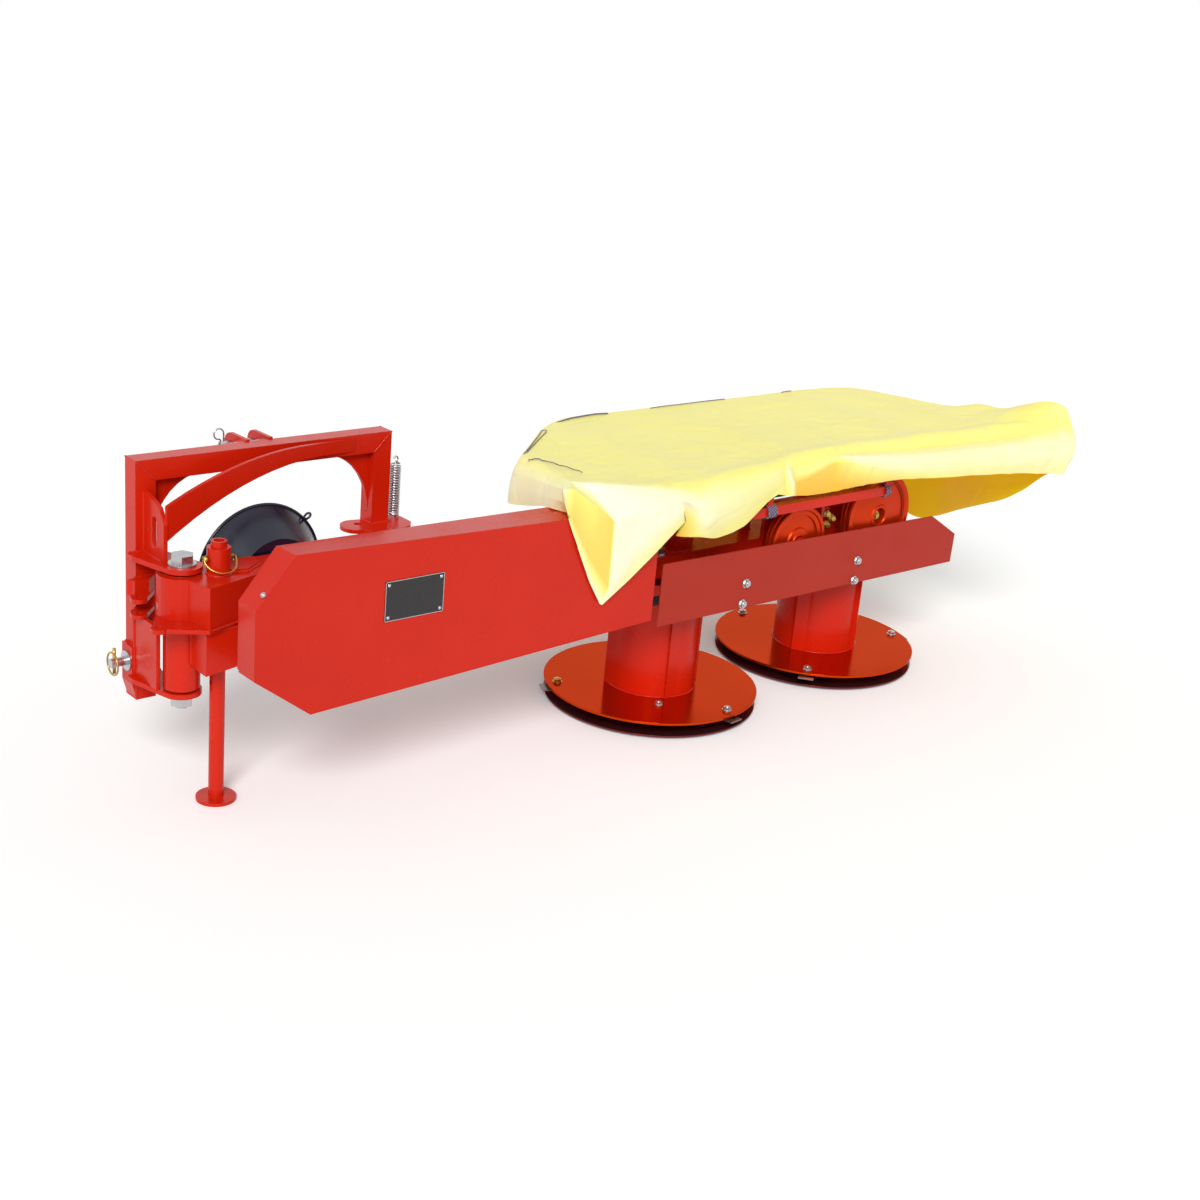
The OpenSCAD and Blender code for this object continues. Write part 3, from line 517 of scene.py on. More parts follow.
def springTree():
    # a close coil of round wire that stands on the first point
    tree, add, given = newTree(
        "coil spring", {"Coil Radius": 0.01, "Wire Radius": 0.0018, "Turns": 20.0, "Height": 0.146})
    coil = add("GeometryNodeCurveSpiral", {"Resolution": 18}, {
        "Rotations": given["Turns"], "Start Radius": given["Coil Radius"], "End Radius": given["Coil Radius"],
        "Height": given["Height"]})
    here = add("GeometryNodeInputPosition")
    centre = add("GeometryNodeSampleIndex", {"Index": 0}, {"Geometry": given["Geometry"], "Value": here},
                 data_type="FLOAT_VECTOR")
    moved = add("GeometryNodeTransform", None, {"Geometry": coil, "Translation": centre})
    ring = add("GeometryNodeCurvePrimitiveCircle", {"Resolution": 8}, {"Radius": given["Wire Radius"]})
    wire = add("GeometryNodeCurveToMesh", {"Fill Caps": True}, {"Curve": moved, "Profile Curve": ring})
    endTree(add, given, wire, True)
    return tree


bolts, welds, coils = boltTree(), weldTree(), springTree()

# ---- canopy ----

# Stations run round the canopy, from the back of its left end by the front and the right end.
# Each has the fold at the top's edge, two points down the skirt and the hem, in millimetres, then for some
# the painted light and shade at those four points (painted pale light at 1, painted amber shade at -1) and how sharply
# the cloth is creased there, 0 to 1.
canopyCloth = {
    "left": [
        ((-76, 378, 716), (-92, 386, 672), (-96, 388, 610), (-92, 380, 540)),
        ((-219, 298, 717), (-238, 312, 674), (-244, 316, 616), (-238, 306, 556)),
        ((-352, 180, 718), (-372, 190, 680), (-382, 192, 632), (-386, 188, 586), (0.1, 0.5, 0.6, 0.5), 0.1),
        ((-430, 116, 718), (-450, 118, 682), (-461, 116, 638), (-464, 112, 596), (0.2, 0.65, 0.8, 0.7), 0.2),
        ((-440, 72, 718), (-464, 68, 684), (-474, 64, 644), (-476, 60, 606), (0.2, 0.65, 0.8, 0.7), 0.3),
        ((-443, 26, 718), (-470, 14, 690), (-480, 8, 654), (-483, 6, 620), (0.2, 0.65, 0.8, 0.7), 0.5),
        ((-448, -28, 718), (-480, -48, 694), (-490, -56, 668), (-494, -60, 640), (0.2, 0.65, 0.8, 0.7), 0.7),
        ((-460, -76, 717), (-494, -102, 702), (-504, -110, 676), (-507, -112, 650), (0.2, 0.65, 0.8, 0.7), 0.9),
        ((-470, -105, 717), (-504, -140, 708), (-513, -158, 681), (-501, -163, 653), (0.2, 0.6, 0.5, 0.3), 1),
        ((-468, -115, 717), (-516, -158, 712), (-538, -190, 698), (-530, -206, 654), (0.3, 0.9, 0.3, 0.6), 1),
    ],
    "front": [
        ((-467, -121, 717), (-493, -172, 715), (-524, -210, 651), (-496, -209, 575), (0.6, -0.3, -0.4, 0.7), 1),
        ((-460, -128, 717), (-447, -214, 675), (-454, -209, 546), (-446, -208, 476), (0.8, -0.3, -0.55, 0.9), 1),
        ((-447, -144, 717), (-401, -224, 636), (-389, -213, 458), (-408, -210, 414), (0.9, -0.55, -0.55, 0.9), 1),
        ((-437, -151, 717), (-394, -226, 632), (-383, -215, 452), (-401, -211, 411), (1, 1, 1, 0.8), 1),
        ((-388, -193, 717), (-322, -232, 651), (-314, -228, 562), (-323, -214, 463), (1, 1, 1, 0.3), 1),
        ((-329, -238, 717), (-265, -248, 674), (-249, -246, 619), (-252, -228, 529), (0.9, 1, 1, 0.2), 1),
        ((-264, -256, 707), (-225, -266, 679), (-198, -264, 649), (-173, -250, 615), (0.7, 1, 0.9, 0.2), 1),
        ((-216, -268, 702), (-204, -278, 675), (-180, -246, 615), (-178, -222, 565), (0.4, 0.9, -0.6, -1), 1),
        ((-171, -276, 696), (-162, -290, 662), (-149, -284, 614), (-132, -266, 568), (0.3, 0.9, 0.7, 0.1), 0.5),
        ((-105, -272, 708), (-103, -290, 670), (-91, -286, 614), (-67, -264, 556), (0.2, 0.6, 0.5, 0), 0.2),
        ((-33, -262, 719), (-23, -284, 680), (-1, -280, 633), (27, -262, 575), (0, 0.4, 0.3, -0.1), 0.2),
        ((59, -254, 720), (71, -272, 697), (93, -270, 667), (106, -260, 627), (0, 0.3, 0.2, -0.1), 0.5),
        ((136, -248, 720), (136, -262, 706), (140, -264, 684), (148, -260, 645), (0, 0.3, 0.2, 0), 1),
        ((177, -242, 720), (168, -252, 705), (172, -256, 682), (180, -256, 636), (0, 0, 0, -0.3), 1),
        ((195, -236, 722), (180, -258, 708), (196, -264, 672), (212, -258, 632), (0.3, 0.8, 0.8, 0.2), 1),
        ((208, -238, 720), (213, -250, 691), (225, -250, 662), (235, -248, 627), (0, 0.1, -0.8, -1), 1),
        ((262, -238, 720), (264, -250, 687), (271, -250, 671), (280, -246, 621), (0, 0.1, -0.8, -1), 1),
        ((318, -238, 720), (314, -249, 701), (321, -249, 684), (334, -246, 619), (0, 0.2, -0.7, -1), 1),
        ((375, -238, 720), (372, -245, 716), (371, -248, 700), (387, -246, 619), (0, 0.2, -0.6, -1), 1),
        ((409, -236, 722), (396, -252, 721), (400, -258, 703), (419, -248, 621), (0, 0.6, -0.2, -1), 1),
        ((463, -240, 718), (447, -262, 714), (450, -270, 694), (474, -254, 625), (0, 0.9, 0.2, -0.9), 1),
        ((532, -246, 715), (512, -272, 710), (507, -284, 684), (531, -268, 631), (0, 0.8, 0.4, -0.6), 0.7),
        ((635, -254, 713), (608, -286, 703), (597, -304, 674), (618, -296, 640), (0, 0.7, 0.5, -0.3), 0.5),
        ((755, -264, 712), (717, -304, 704), (715, -320, 668), (729, -314, 636), (0, 0.6, 0.5, 0), 0.5),
        ((876, -276, 712), (834, -318, 704), (833, -334, 664), (849, -328, 630), (0, 0.6, 0.5, 0.1), 0.5),
        ((999, -290, 712), (957, -332, 702), (959, -346, 658), (979, -338, 622), (0, 0.6, 0.5, 0.2), 0.5),
        ((1106, -310, 718), (1062, -352, 708), (1068, -364, 660), (1097, -352, 616), (0, 0.6, 0.6, 0.2), 0.6),
        ((1177, -336, 732), (1150, -372, 714), (1160, -388, 664), (1180, -372, 610), (0, 0.6, 0.6, 0.3), 0.8),
    ],
    "right": [
        ((1246, -396, 752), (1262, -408, 712), (1266, -406, 664), (1256, -388, 604), (0, 0.6, 0.6, 0.3), 0.8),
        ((1264, -352, 798), (1280, -350, 740), (1278, -346, 672), (1262, -338, 592), (0.2, 0.6, 0.6, 0.3), 0.8),
        ((1258, -290, 804), (1270, -290, 730), (1268, -286, 640), (1248, -276, 530)),
        ((1240, -220, 780), (1256, -222, 700), (1256, -220, 606), (1240, -214, 480)),
        ((1236, -150, 752), (1252, -150, 676), (1252, -146, 580), (1236, -136, 440)),
        ((1238, -60, 744), (1254, -60, 664), (1252, -56, 562), (1238, -46, 396)),
        ((1238, 30, 716), (1252, 34, 640), (1250, 36, 528), (1236, 40, 350)),
        ((1210, 90, 712), (1222, 98, 640), (1220, 102, 520), (1204, 104, 338)),
        ((1165, 195, 714), (1176, 204, 650), (1174, 206, 536), (1160, 204, 392)),
    ],
    "back": [
        ((1085, 336, 716), (1096, 352, 664), (1094, 352, 590), (1084, 342, 500)),
        ((895, 372, 717), (896, 388, 668), (896, 390, 604), (894, 382, 536)),
        ((700, 376, 716), (700, 392, 668), (700, 392, 602), (700, 384, 530)),
        ((533, 374, 717), (533, 390, 666), (533, 392, 600), (533, 382, 524)),
        ((380, 376, 716), (380, 392, 668), (380, 394, 604), (380, 384, 530)),
        ((249, 378, 717), (249, 392, 668), (249, 394, 606), (249, 386, 534)),
        ((87, 382, 716), (84, 396, 668), (84, 398, 606), (84, 388, 536)),
    ],
    "lightAndShade": (0, 0.4, 0.4, 0.2),  # painted light and shade at stations without their own
    "acrossCount": 196,
    "endCount": 100,
    "skirtRows": 30,
    "shoulder": 20.0,  # how far the top slopes up behind the fold
    "creaseAngle": 24,
    "thickness": 0.0018,
    "size": (1500, 660),
    "level": 715.0,
    "levelReach": 240,  # from the edge to where the tubes hold the sheet level
    "creaseReach": 60,  # from the edge to the full height of the creases
    "lightShadeReach": 45,  # from the edge to where the painted light and shade have faded out
    "bows": (-120, 310, 805, 1050),
    "sag": 7.0,  # between the bows
    "bowReach": 150,  # from a bow to the full sag
    "creaseHeight": 3.2,
    "gathers": {"seed": 11, "count": 26, "from": 300, "to": 1240, "rows": 22, "fade": 55},
    "middle": (390, 20),
    "waves": ((130, 9), (50, 4)),  # width and height of the long and the short waves of the skirt
}


def spline(a, b, c, d, f):
    # a smooth step from b to c, with their neighbours a and d
    return 0.5 * (2 * b + (c - a) * f + (2 * a - 5 * b + 4 * c - d) * f * f + (3 * b - a - 3 * c + d) * f ** 3)


def eased(a, b, c, d, f, crisp):
    # the same step, straight where the cloth is crisp
    return spline(a, b, c, d, f) * (1 - crisp) + (b + (c - b) * f) * crisp


def smoothLoop(points, sharp, counts):
    # a closed run through the points; counts are the first point, length and steps of each stretch between corners
    out = []
    for start, length, steps in counts:
        for s in range(steps):
            t = s / steps * length
            k = min(int(t), length - 1)
            near = [points[(start + k + o) % len(points)] for o in (-1, 0, 1, 2)]
            out.append(eased(*near, t - k, min(sharp[start + k], sharp[(start + k + 1) % len(points)])))
    return np.array(out)


def clothSkirt(spec):
    # the fold, the rows below it down to the hem, all as (x, y, z, painted light and shade), and how crisp each column
    # is
    sides = [spec[side] for side in ("left", "front", "right", "back")]
    stations = [s for side in sides for s in side]
    sharp = np.array([s[5] if len(s) > 5 else 0.0 for s in stations])
    lightAndShade = [s[4] if len(s) > 4 else spec["lightAndShade"] for s in stations]
    starts = np.cumsum([0] + [len(side) for side in sides[:3]])
    steps = (spec["endCount"], spec["acrossCount"]) * 2
    counts = [(int(first), len(side), count) for first, side, count in zip(starts, sides, steps)]
    fold, upper, lower, hem = (
        smoothLoop(np.array([(*s[k], t[k]) for s, t in zip(stations, lightAndShade)], float), sharp, counts) for k in range(4))
    crisp = smoothLoop(sharp, np.ones(len(sharp)), counts)
    keys = [2 * fold - upper + np.array([0, 0, spec["shoulder"], 0]), fold, upper, lower, hem, 2 * hem - lower]
    skirt = []
    for r in range(1, spec["skirtRows"] + 1):
        t = r / spec["skirtRows"] * 3
        k = min(int(t), 2)
        skirt.append(eased(*keys[k : k + 4], t - k, crisp[:, None]))
    return fold, skirt, crisp


def packingCreases(px, py):
    # long creases with the sheet's slack and short ones across
    def ridged(x, y, size, seed):
        return max(1 - abs(noise.noise(Vector((x / size, y / size, seed)))) * 2.2, 0)

    wander = 60 * noise.noise(Vector((px / 300, py / 300, 7.3)))
    long = ridged(px * 0.45 + py * 0.3 + wander, py - px * 0.22 + wander, 95, 1.7)
    short = ridged(px * 0.8 - py * 0.5, py * 0.9 + px * 0.4 + wander, 60, 9.1)
    return long ** 3 + short ** 4 * 0.55


def clothTop(fold, spec):
    # a patch between the four sides of the fold, with sag and creases that die out towards them
    ends, across = spec["endCount"], spec["acrossCount"]
    left = fold[: ends + 1]
    front = fold[ends : ends + across + 1]
    right = fold[ends + across : 2 * ends + across + 1]
    back = np.vstack([fold[2 * ends + across :], fold[:1]])
    u = np.linspace(0, 1, across + 1)[:, None, None]
    v = np.linspace(0, 1, ends + 1)[None, :, None]
    corners = (1 - u) * (1 - v) * front[0] + u * (1 - v) * front[-1] + (1 - u) * v * left[0] + u * v * right[-1]
    top = (1 - v) * front[:, None] + v * back[::-1][:, None] + (1 - u) * left[::-1][None] + u * right[None] - corners
    width, depth = (np.minimum(share, 1 - share)[:, :, 0] * size for share, size in zip((u, v), spec["size"]))
    away = np.minimum(width, depth)  # millimetres from the nearest edge
    inner = np.clip(away / spec["creaseReach"], 0, 1)
    inner = inner * inner * (3 - 2 * inner)
    # the painted light and shade fade out towards the middle of the top
    top[:, :, 3] *= 1 - np.clip(away / spec["lightShadeReach"], 0, 1)
    # the high near corner falls off quickly towards the middle
    hold = np.clip(away / spec["levelReach"], 0, 1)
    top[:, :, 2] = spec["level"] + (top[:, :, 2] - spec["level"]) * (1 - hold) ** 1.3
    x = top[:, :, 0]
    between = np.min([np.clip(np.abs(x - bow) / spec["bowReach"], 0, 1) for bow in spec["bows"]], axis=0)
    top[:, :, 2] -= spec["sag"] * between * inner * np.clip(away / 160, 0, 1)
    lift = np.array([[packingCreases(*p[:2]) for p in line] for line in top])
    top[:, :, 2] += (lift * spec["creaseHeight"] + 0.6) * inner
    return top


def gatherCloth(top, skirt, spec):
    # small gathers across the folded front edge, from the middle to the near right corner
    g = spec["gathers"]
    ends, across = spec["endCount"], spec["acrossCount"]
    draw = random.Random(g["seed"]).uniform
    gathers = [(draw(g["from"], g["to"]), draw(7, 16), draw(3, 8), draw(-0.5, 0.5)) for _ in range(g["count"])]
    gathers += [(-240 + 46 * k, 12, 2.5, 0.3) for k in range(7)]

    def gather(px, strength, lean):
        # every second one is a hollow
        return strength * sum(
            height * math.exp(-(((px - at - slope * lean) / width) ** 2)) * (1 if int(at) % 2 else -0.8)
            for at, width, height, slope in gathers)

    for line in top:
        for j in range(g["rows"]):
            reach = line[j, 1] - line[0, 1]
            fade = math.exp(-((reach / g["fade"]) ** 2)) * (0.3 if j == 0 else 1)
            line[j, 2] += gather(line[j, 0], fade, reach) * 0.7
    for r, line in enumerate(skirt):
        share = (r + 1) / len(skirt)
        for point in line[ends + 1 : ends + across]:
            point[1] -= gather(point[0], 1 - 0.45 * share, share * 60) * (1.1 if point[0] > 420 else 0.4)


def waveHem(skirt, crisp, spec):
    # the skirt waves all round, most at the hem and least where the cloth is crisp
    midX, midY = spec["middle"]
    (long, longHeight), (short, shortHeight) = spec["waves"]
    for r, line in enumerate(skirt):
        for point, stiff in zip(line, crisp):
            px, py, pz = point[:3]
            wave = noise.noise(Vector((px / long, py / long, 3.0))) * longHeight
            wave += noise.noise(Vector((px / short, py / short, pz / 160))) * shortHeight
            outward = np.array([px - midX, (py - midY) * 2.2])
            outward /= np.linalg.norm(outward) + 1e-6
            point[:2] += outward * wave * (r + 1) / len(skirt) * (1 - 0.95 * stiff)


def makeCanopy(spec):
    # the sheet as one mesh with two faces of cloth, and its area in square metres
    fold, skirt, crisp = clothSkirt(spec)
    top = clothTop(fold, spec)
    gatherCloth(top, skirt, spec)
    waveHem(skirt, crisp, spec)
    ends, across = spec["endCount"], spec["acrossCount"]
    rows = np.vstack([top.reshape(-1, 4)] + skirt)
    width, ring = ends + 1, len(fold)
    faces = [(i * width + j, (i + 1) * width + j, (i + 1) * width + j + 1, i * width + j + 1)
             for i in range(across) for j in range(ends)]
    # the top's border in the order of the stations
    above = [ends - k for k in range(ends + 1)] + [k * width for k in range(1, across + 1)]
    above += [across * width + k for k in range(1, ends + 1)] + [(across - k) * width + ends for k in range(1, across)]
    for r in range(len(skirt)):
        start = (across + 1) * width + r * ring
        here = list(range(start, start + ring))
        faces += [(above[(c + 1) % ring], above[c], here[c], here[(c + 1) % ring]) for c in range(ring)]
        above = here
    mesh = meshFrom([place(*p[:3]) for p in rows], faces)
    # the painted light and shade go onto the cloth as its tone attribute
    mesh.attributes.new("tone", "FLOAT", "POINT").data.foreach_set("value", list(rows[:, 3]))
    mesh.materials.append(tarpOut)
    mesh.materials.append(tarpIn)
    holder = bpy.data.objects.new("canopyHolder", mesh)
    bpy.context.scene.collection.objects.link(holder)
    wall = holder.modifiers.new("wall", "SOLIDIFY")
    wall.thickness = spec["thickness"]
    wall.offset = -1
    wall.material_offset = 1
    wall.material_offset_rim = 0
    bpy.context.view_layer.update()
    made = bpy.data.meshes.new_from_object(holder.evaluated_get(bpy.context.evaluated_depsgraph_get()))
    bpy.data.objects.remove(holder)
    made.set_sharp_from_angle(angle=math.radians(spec["creaseAngle"]))
    return made, sum(p.area for p in mesh.polygons)


canopyMesh, canopyArea = makeCanopy(canopyCloth)
canopySheet = finishPiece("canopySheet", [canopyMesh], "frame")
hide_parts("canopy")
print("canopy made, cloth area", round(canopyArea, 3), "square metres,", len(canopyMesh.polygons), "faces")

# ---- small parts of the hitch ----

latchCoil = {"at": (-736, 236), "bottom": 566, "height": 132, "radius": 12.6, "wire": 2.3, "turns": 20,
             "neck": [(10, 0), (7, 3), (2, 6)], "hook": 6, "hookAt": 14}


def makeLatchCoil(spec):
    x, y = spec["at"]
    low, high = spec["bottom"], spec["bottom"] + spec["height"]
    foot = bpy.data.meshes.new("coilPlace")
    foot.from_pydata([tuple(place(x, y, low))], [], [])
    coil = runTree(coils, foot, {
        "Coil Radius": spec["radius"] / 1000, "Wire Radius": spec["wire"] / 1000, "Turns": float(spec["turns"]),
        "Height": spec["height"] / 1000, "Material": zinc})
    hooks = []
    for z, way in ((low, -1), (high, 1)):
        neck = [place(x + dx, y, z + way * dz) for dx, dz in spec["neck"]]
        middle = place(x, y, z + way * spec["hookAt"])
        hooks.append(neck + arc(middle, -zAxis * way, xAxis, spec["hook"], range(0, 300, 30)))
    piece = finishPiece("latchCoil", [coil, wireMesh(hooks, spec["wire"])], "hitch", zinc)
    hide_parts("latch_spring")


makeLatchCoil(latchCoil)

# the stand's clip pin: a shank through the socket, and a sprung bow that hangs round the front
standClip = {"at": (-1335, 48, 599), "reach": 37, "pin": 4.6, "head": [(4.5, 0), (8.5, 2), (8.5, 12), (4.5, 14)],
             "bow": (40, 37), "sweep": (188, 352), "sink": 26, "wire": 1.9, "steps": 24,
             "tail": [(1, 6, -2), (1, 12, -8), (-1, 8, -14)]}


def makeStandClip(spec):
    x, y, z = spec["at"]
    reach, pin, steps = spec["reach"], spec["pin"], spec["steps"]
    shank = turned([(pin, 0), (pin, 2 * reach)], place(x - reach, y, z), xAxis, 16)
    head = turned(spec["head"], place(x - reach - 3, y, z), xAxis, 16)
    (wide, deep), (start, end) = spec["bow"], spec["sweep"]
    oval = arc(place(x, y, z), xAxis * wide, yAxis * deep, 1, evenly(steps, start, end) + [end])
    bow = [p - zAxis * spec["sink"] / 1000 * math.sin(math.pi * i / steps) ** 0.7 for i, p in enumerate(oval)]
    bow += [bow[-1] + Vector(step) / 1000 for step in spec["tail"]]
    finishPiece("standLinchPin", [shank, head, wireMesh([bow], spec["wire"])], "stand", yellowZinc)


makeStandClip(standClip)

# linch pins through the ends of the lower pins, each with its ring
lowerRings = {"inset": 10, "y": 236, "z": 308, "pin": 3.8, "length": 62, "below": 26, "ring": 27, "wire": 2.3}


def makeLowerRings(spec):
    low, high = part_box("lower_pins")
    shank = [(spec["pin"], 0), (spec["pin"], spec["length"])]
    parts = []
    for edge, way in ((low.x, 1), (high.x, -1)):
        centre = Vector((edge + way * spec["inset"] / 1000, place(0, spec["y"], 0).y, spec["z"] / 1000))
        parts.append(turned(shank, centre - zAxis * spec["below"] / 1000, zAxis, 14))
        path = arc(centre + Vector((-way * 4, 0, -2)) / 1000, yAxis, zAxis, spec["ring"], evenly(36))
        parts.append(wireMesh([path], spec["wire"], closed=True))
    finishPiece("lowerLinchPins", parts, "hitch", yellowZinc)


makeLowerRings(lowerRings)

topClip = {"at": (-1166, 335, 768), "leg": range(-30, 30, 6), "eye": 13, "eyeAt": 28, "wire": 2.2,
           "tail": [(-8, 12), (-11.5, 2), (-12.5, -8), (-11.5, -16), (-15, -24)]}


def makeTopClip(spec):
    # a hairpin clip: a straight leg, an eye and a bent leg
    x, y, z = spec["at"]
    path = [place(x, y, z + up) for up in spec["leg"]]
    path += arc(place(x - spec["eye"], y, z + spec["eyeAt"]), xAxis, zAxis, spec["eye"], range(0, 300, 20))
    path += [place(x + dx, y, z + dz) for dx, dz in spec["tail"]]
    finishPiece("topLinkClip", [wireMesh([path], spec["wire"])], "hitch", zinc)


makeTopClip(topClip)

# ---- bolts ----

# across flats, head height, washer radius and thickness, thread radius and length, in millimetres
boltSizes = {
    "panel": (17.5, 8, 12.8, 2, 5.2, 4),
    "guard": (8, 3, 6.2, 1.2, 2.6, 2),
    "knife": (19, 7, 13.5, 2.2, 5.5, 3),
    "beam": (30, 18, 20.5, 3.5, 9.5, 6),
    "hub": (26, 14, 21.5, 3, 8, 6),
    "tensioner": (18, 10, 12, 3, 8, 6),
}
boltPlaces = {
    "panel": [(127, 379), (121, 321), (582, 375), (579, 315)],
    "guard": [(-1368, 597)],
    "gearbox": (64, 522),  # radius of the circle and its height
    "disc": (269, 47),
    "knives": {
        "knifeBoltYellow": ("drum_left", yellowZinc, 0, (154,)),
        "knifeBoltsLeft": ("drum_left", zinc, 0, (34, -81)),
        "knifeBoltsRight": ("drum_right", zinc, drumPitch, (99, 219, 339)),
    },
    "plug": (-98, -142, 47),  # a smaller one nearer the left drum
    "beam": (-84, -66, 452),
}


def boltPieces(name, spots, body, material, kind):
    # spots are (place, the way the bolt points, scale)
    mesh = bpy.data.meshes.new("spots")
    mesh.from_pydata([tuple(s[0]) for s in spots], [], [])
    mesh.attributes.new("aim", "FLOAT_VECTOR", "POINT").data.foreach_set("vector", [c for s in spots for c in s[1]])
    mesh.attributes.new("size", "FLOAT", "POINT").data.foreach_set("value", [s[2] for s in spots])
    inputs = {label: value / 1000 for label, value in zip(boltInputs, boltSizes[kind])}
    finishPiece(name, [runTree(bolts, mesh, dict(inputs, Material=material))], body)


def makeBolts(spec):
    for name, node in (("panel", "drum_panel"), ("guard", "guard_cover")):
        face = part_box(node)[0].y
        spots = [(Vector((place(x, 0, 0).x, face, z / 1000)), -yAxis, 1.0) for x, z in spec[name]]
        boltPieces(name + "Bolts", spots, "frame", zinc, name)
    radius, z = spec["gearbox"]
    gearbox = [(p, zAxis, 0.8) for x in (0, drumPitch)
               for p in arc(place(x, 0, z), xAxis, yAxis, radius, range(30, 390, 60))]
    boltPieces("gearboxBolts", gearbox, "frame", zinc, "panel")
    radius, z = spec["disc"]
    for name, (body, finish, x, angles) in spec["knives"].items():
        spots = [(p, zAxis, 1.0) for p in arc(place(x, 0, z), xAxis, yAxis, radius, angles)]
        if name == "knifeBoltsLeft":
            spots.append((place(*spec["plug"]), zAxis, 0.9))
        boltPieces(name, spots, body, finish, "knife")
    boltPieces("beamNut", [(place(*spec["beam"]), zAxis, 1.0)], "frame", zinc, "beam")


makeBolts(boltPlaces)
print("pins and bolts made")

# ---- belt drive ----

# front and back are (radius, distance behind the front face) of a half section, from the recess over the rim to the
# grooves, and from there on; groove is the radius of its floor and of the land between two
pulleyShapes = {
    "driven": {
        "at": (677, 489), "body": "driven_drive", "nut": (31, 1.0, yellowZinc), "groove": (107, 118),
        "front": [(23, 31), (24, 3), (26, 0), (33, 0), (36, 3), (108, 9), (112, 4), (116, 0), (128, 0), (130, 1.6),
                  (130, 3.2)],
        "back": [(116, 46), (104, 46), (100, 40), (34, 42), (32, 46), (15, 46), (15, 95)]},
    "idler": {
        "at": (342, 458), "body": "idler", "nut": (30, 0.74, zinc), "groove": (79, 90),
        "front": [(17, 30), (18, 2), (20, 0), (24, 0), (27, 3), (40, 4), (43, 8), (86, 11), (91, 5), (94, 0),
                  (102, 0), (104, 1.6), (104, 3.2)],
        "back": [(88, 46), (78, 46), (74, 38), (28, 38), (26, 46), (11.05, 46)]},
}
pulleyGrooves = {"count": 3, "pitch": 15.2, "floor": (5.2, 10.2), "land": (12.4, 18.2), "end": 44}
pulleyFace = {"y": -183, "sides": 72, "sharpFrom": 28}
tensionerNuts = {"at": (508, -124, 505), "offsets": [(0, 0), (24, -16), (4, -34)], "aim": (-0.35, -1, 0.1)}


def makePulleys(shapes, grooves, face, locknuts):
    for label, spec in shapes.items():
        x, z = spec["at"]
        floor, land = spec["groove"]
        steps = [(floor, h) for h in grooves["floor"]] + [(land, h) for h in grooves["land"]]
        rim = [(r, h + grooves["pitch"] * k) for k in range(grooves["count"]) for r, h in steps]
        rings = spec["front"] + rim[:-1] + [(land, grooves["end"])] + spec["back"]
        mesh = turned(rings, place(x, face["y"], z), yAxis, face["sides"])
        mesh.set_sharp_from_angle(angle=math.radians(face["sharpFrom"]))
        piece = finishPiece(label + "Pulley", [mesh], spec["body"], pulleyEnamelCanopyGlow)
        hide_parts(label + "_pulley")
    for label, spec in shapes.items():
        x, z = spec["at"]
        depth, scale, finish = spec["nut"]
        boltPieces(label + "HubNut", [(place(x, face["y"] + depth, z), -yAxis, scale)], spec["body"], finish, "hub")
    x, y, z = locknuts["at"]
    spots = [(place(x + dx, y, z + dz), locknuts["aim"], 0.9) for dx, dz in locknuts["offsets"]]
    boltPieces("tensionerNuts", spots, "frame", yellowZinc, "tensioner")


makePulleys(pulleyShapes, pulleyGrooves, pulleyFace, tensionerNuts)

# ---- shaft shield and nameplate ----

shieldTrim = {
    "at": (-1135, 487),
    "rims": [(163, 209, 4.2), (154, 203, 2.2), (128, 178, 2.6)],  # radius, y and half thickness of each roll
    "eyelet": (-1010, 208, 603),
    "eyeletSize": (9, 3),
}


def makeShieldTrim(spec):
    x, z = spec["at"]
    rims = []
    for radius, y, roll in spec["rims"]:
        rims.append(wireMesh([arc(place(x, y, z), xAxis, zAxis, radius, evenly(96))], roll, closed=True))
    ex, ey, ez = spec["eyelet"]
    outward = Vector((ex - x, 0, ez - z)).normalized()
    radius, wire = spec["eyeletSize"]
    path = arc(place(ex, ey, ez) + outward * 0.004, outward, yAxis, radius, evenly(20))
    rims.append(wireMesh([path], wire, closed=True))
    finishPiece("shieldRims", rims, "frame", shieldPlastic)


makeShieldTrim(shieldTrim)

plateTrim = {"inset": 9.0, "rivet": 4.6, "edge": 1.3}


def makePlateTrim(spec):
    low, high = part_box("nameplate")
    inset, edge, size = spec["inset"] / 1000, spec["edge"] / 1000, spec["rivet"]
    dome = [(size, 0), (size * 0.9, 0.9), (size * 0.55, 1.9), (0.6, 2.3)]
    rivets = [turned(dome, Vector((x, low.y, z)), -yAxis, 18)
              for x in (low.x + inset, high.x - inset) for z in (low.z + inset, high.z - inset)]
    finishPiece("plateRivets", rivets, "frame", zinc)
    # four strips, a third of a millimetre proud
    boxFaces = [(0, 1, 2, 3), (7, 6, 5, 4), (0, 4, 5, 1), (1, 5, 6, 2), (2, 6, 7, 3), (3, 7, 4, 0)]
    strips = []
    for a, b, c, d in ((low.x, low.z, high.x, low.z + edge), (low.x, high.z - edge, high.x, high.z),
                       (low.x, low.z, low.x + edge, high.z), (high.x - edge, low.z, high.x, high.z)):
        points = [(px, y, pz) for y in (low.y - 0.0003, low.y + 0.0005) for px, pz in ((a, b), (c, b), (c, d), (a, d))]
        strips.append(meshFrom(points, boxFaces, False))
    finishPiece("plateEdge", strips, "frame", plateBright)


makePlateTrim(plateTrim)
print("belt drive, shield and plate made")

# ---- weld beads ----

weldSize = {"broad": 3.4, "fine": 2.4, "ripple": 5.5}
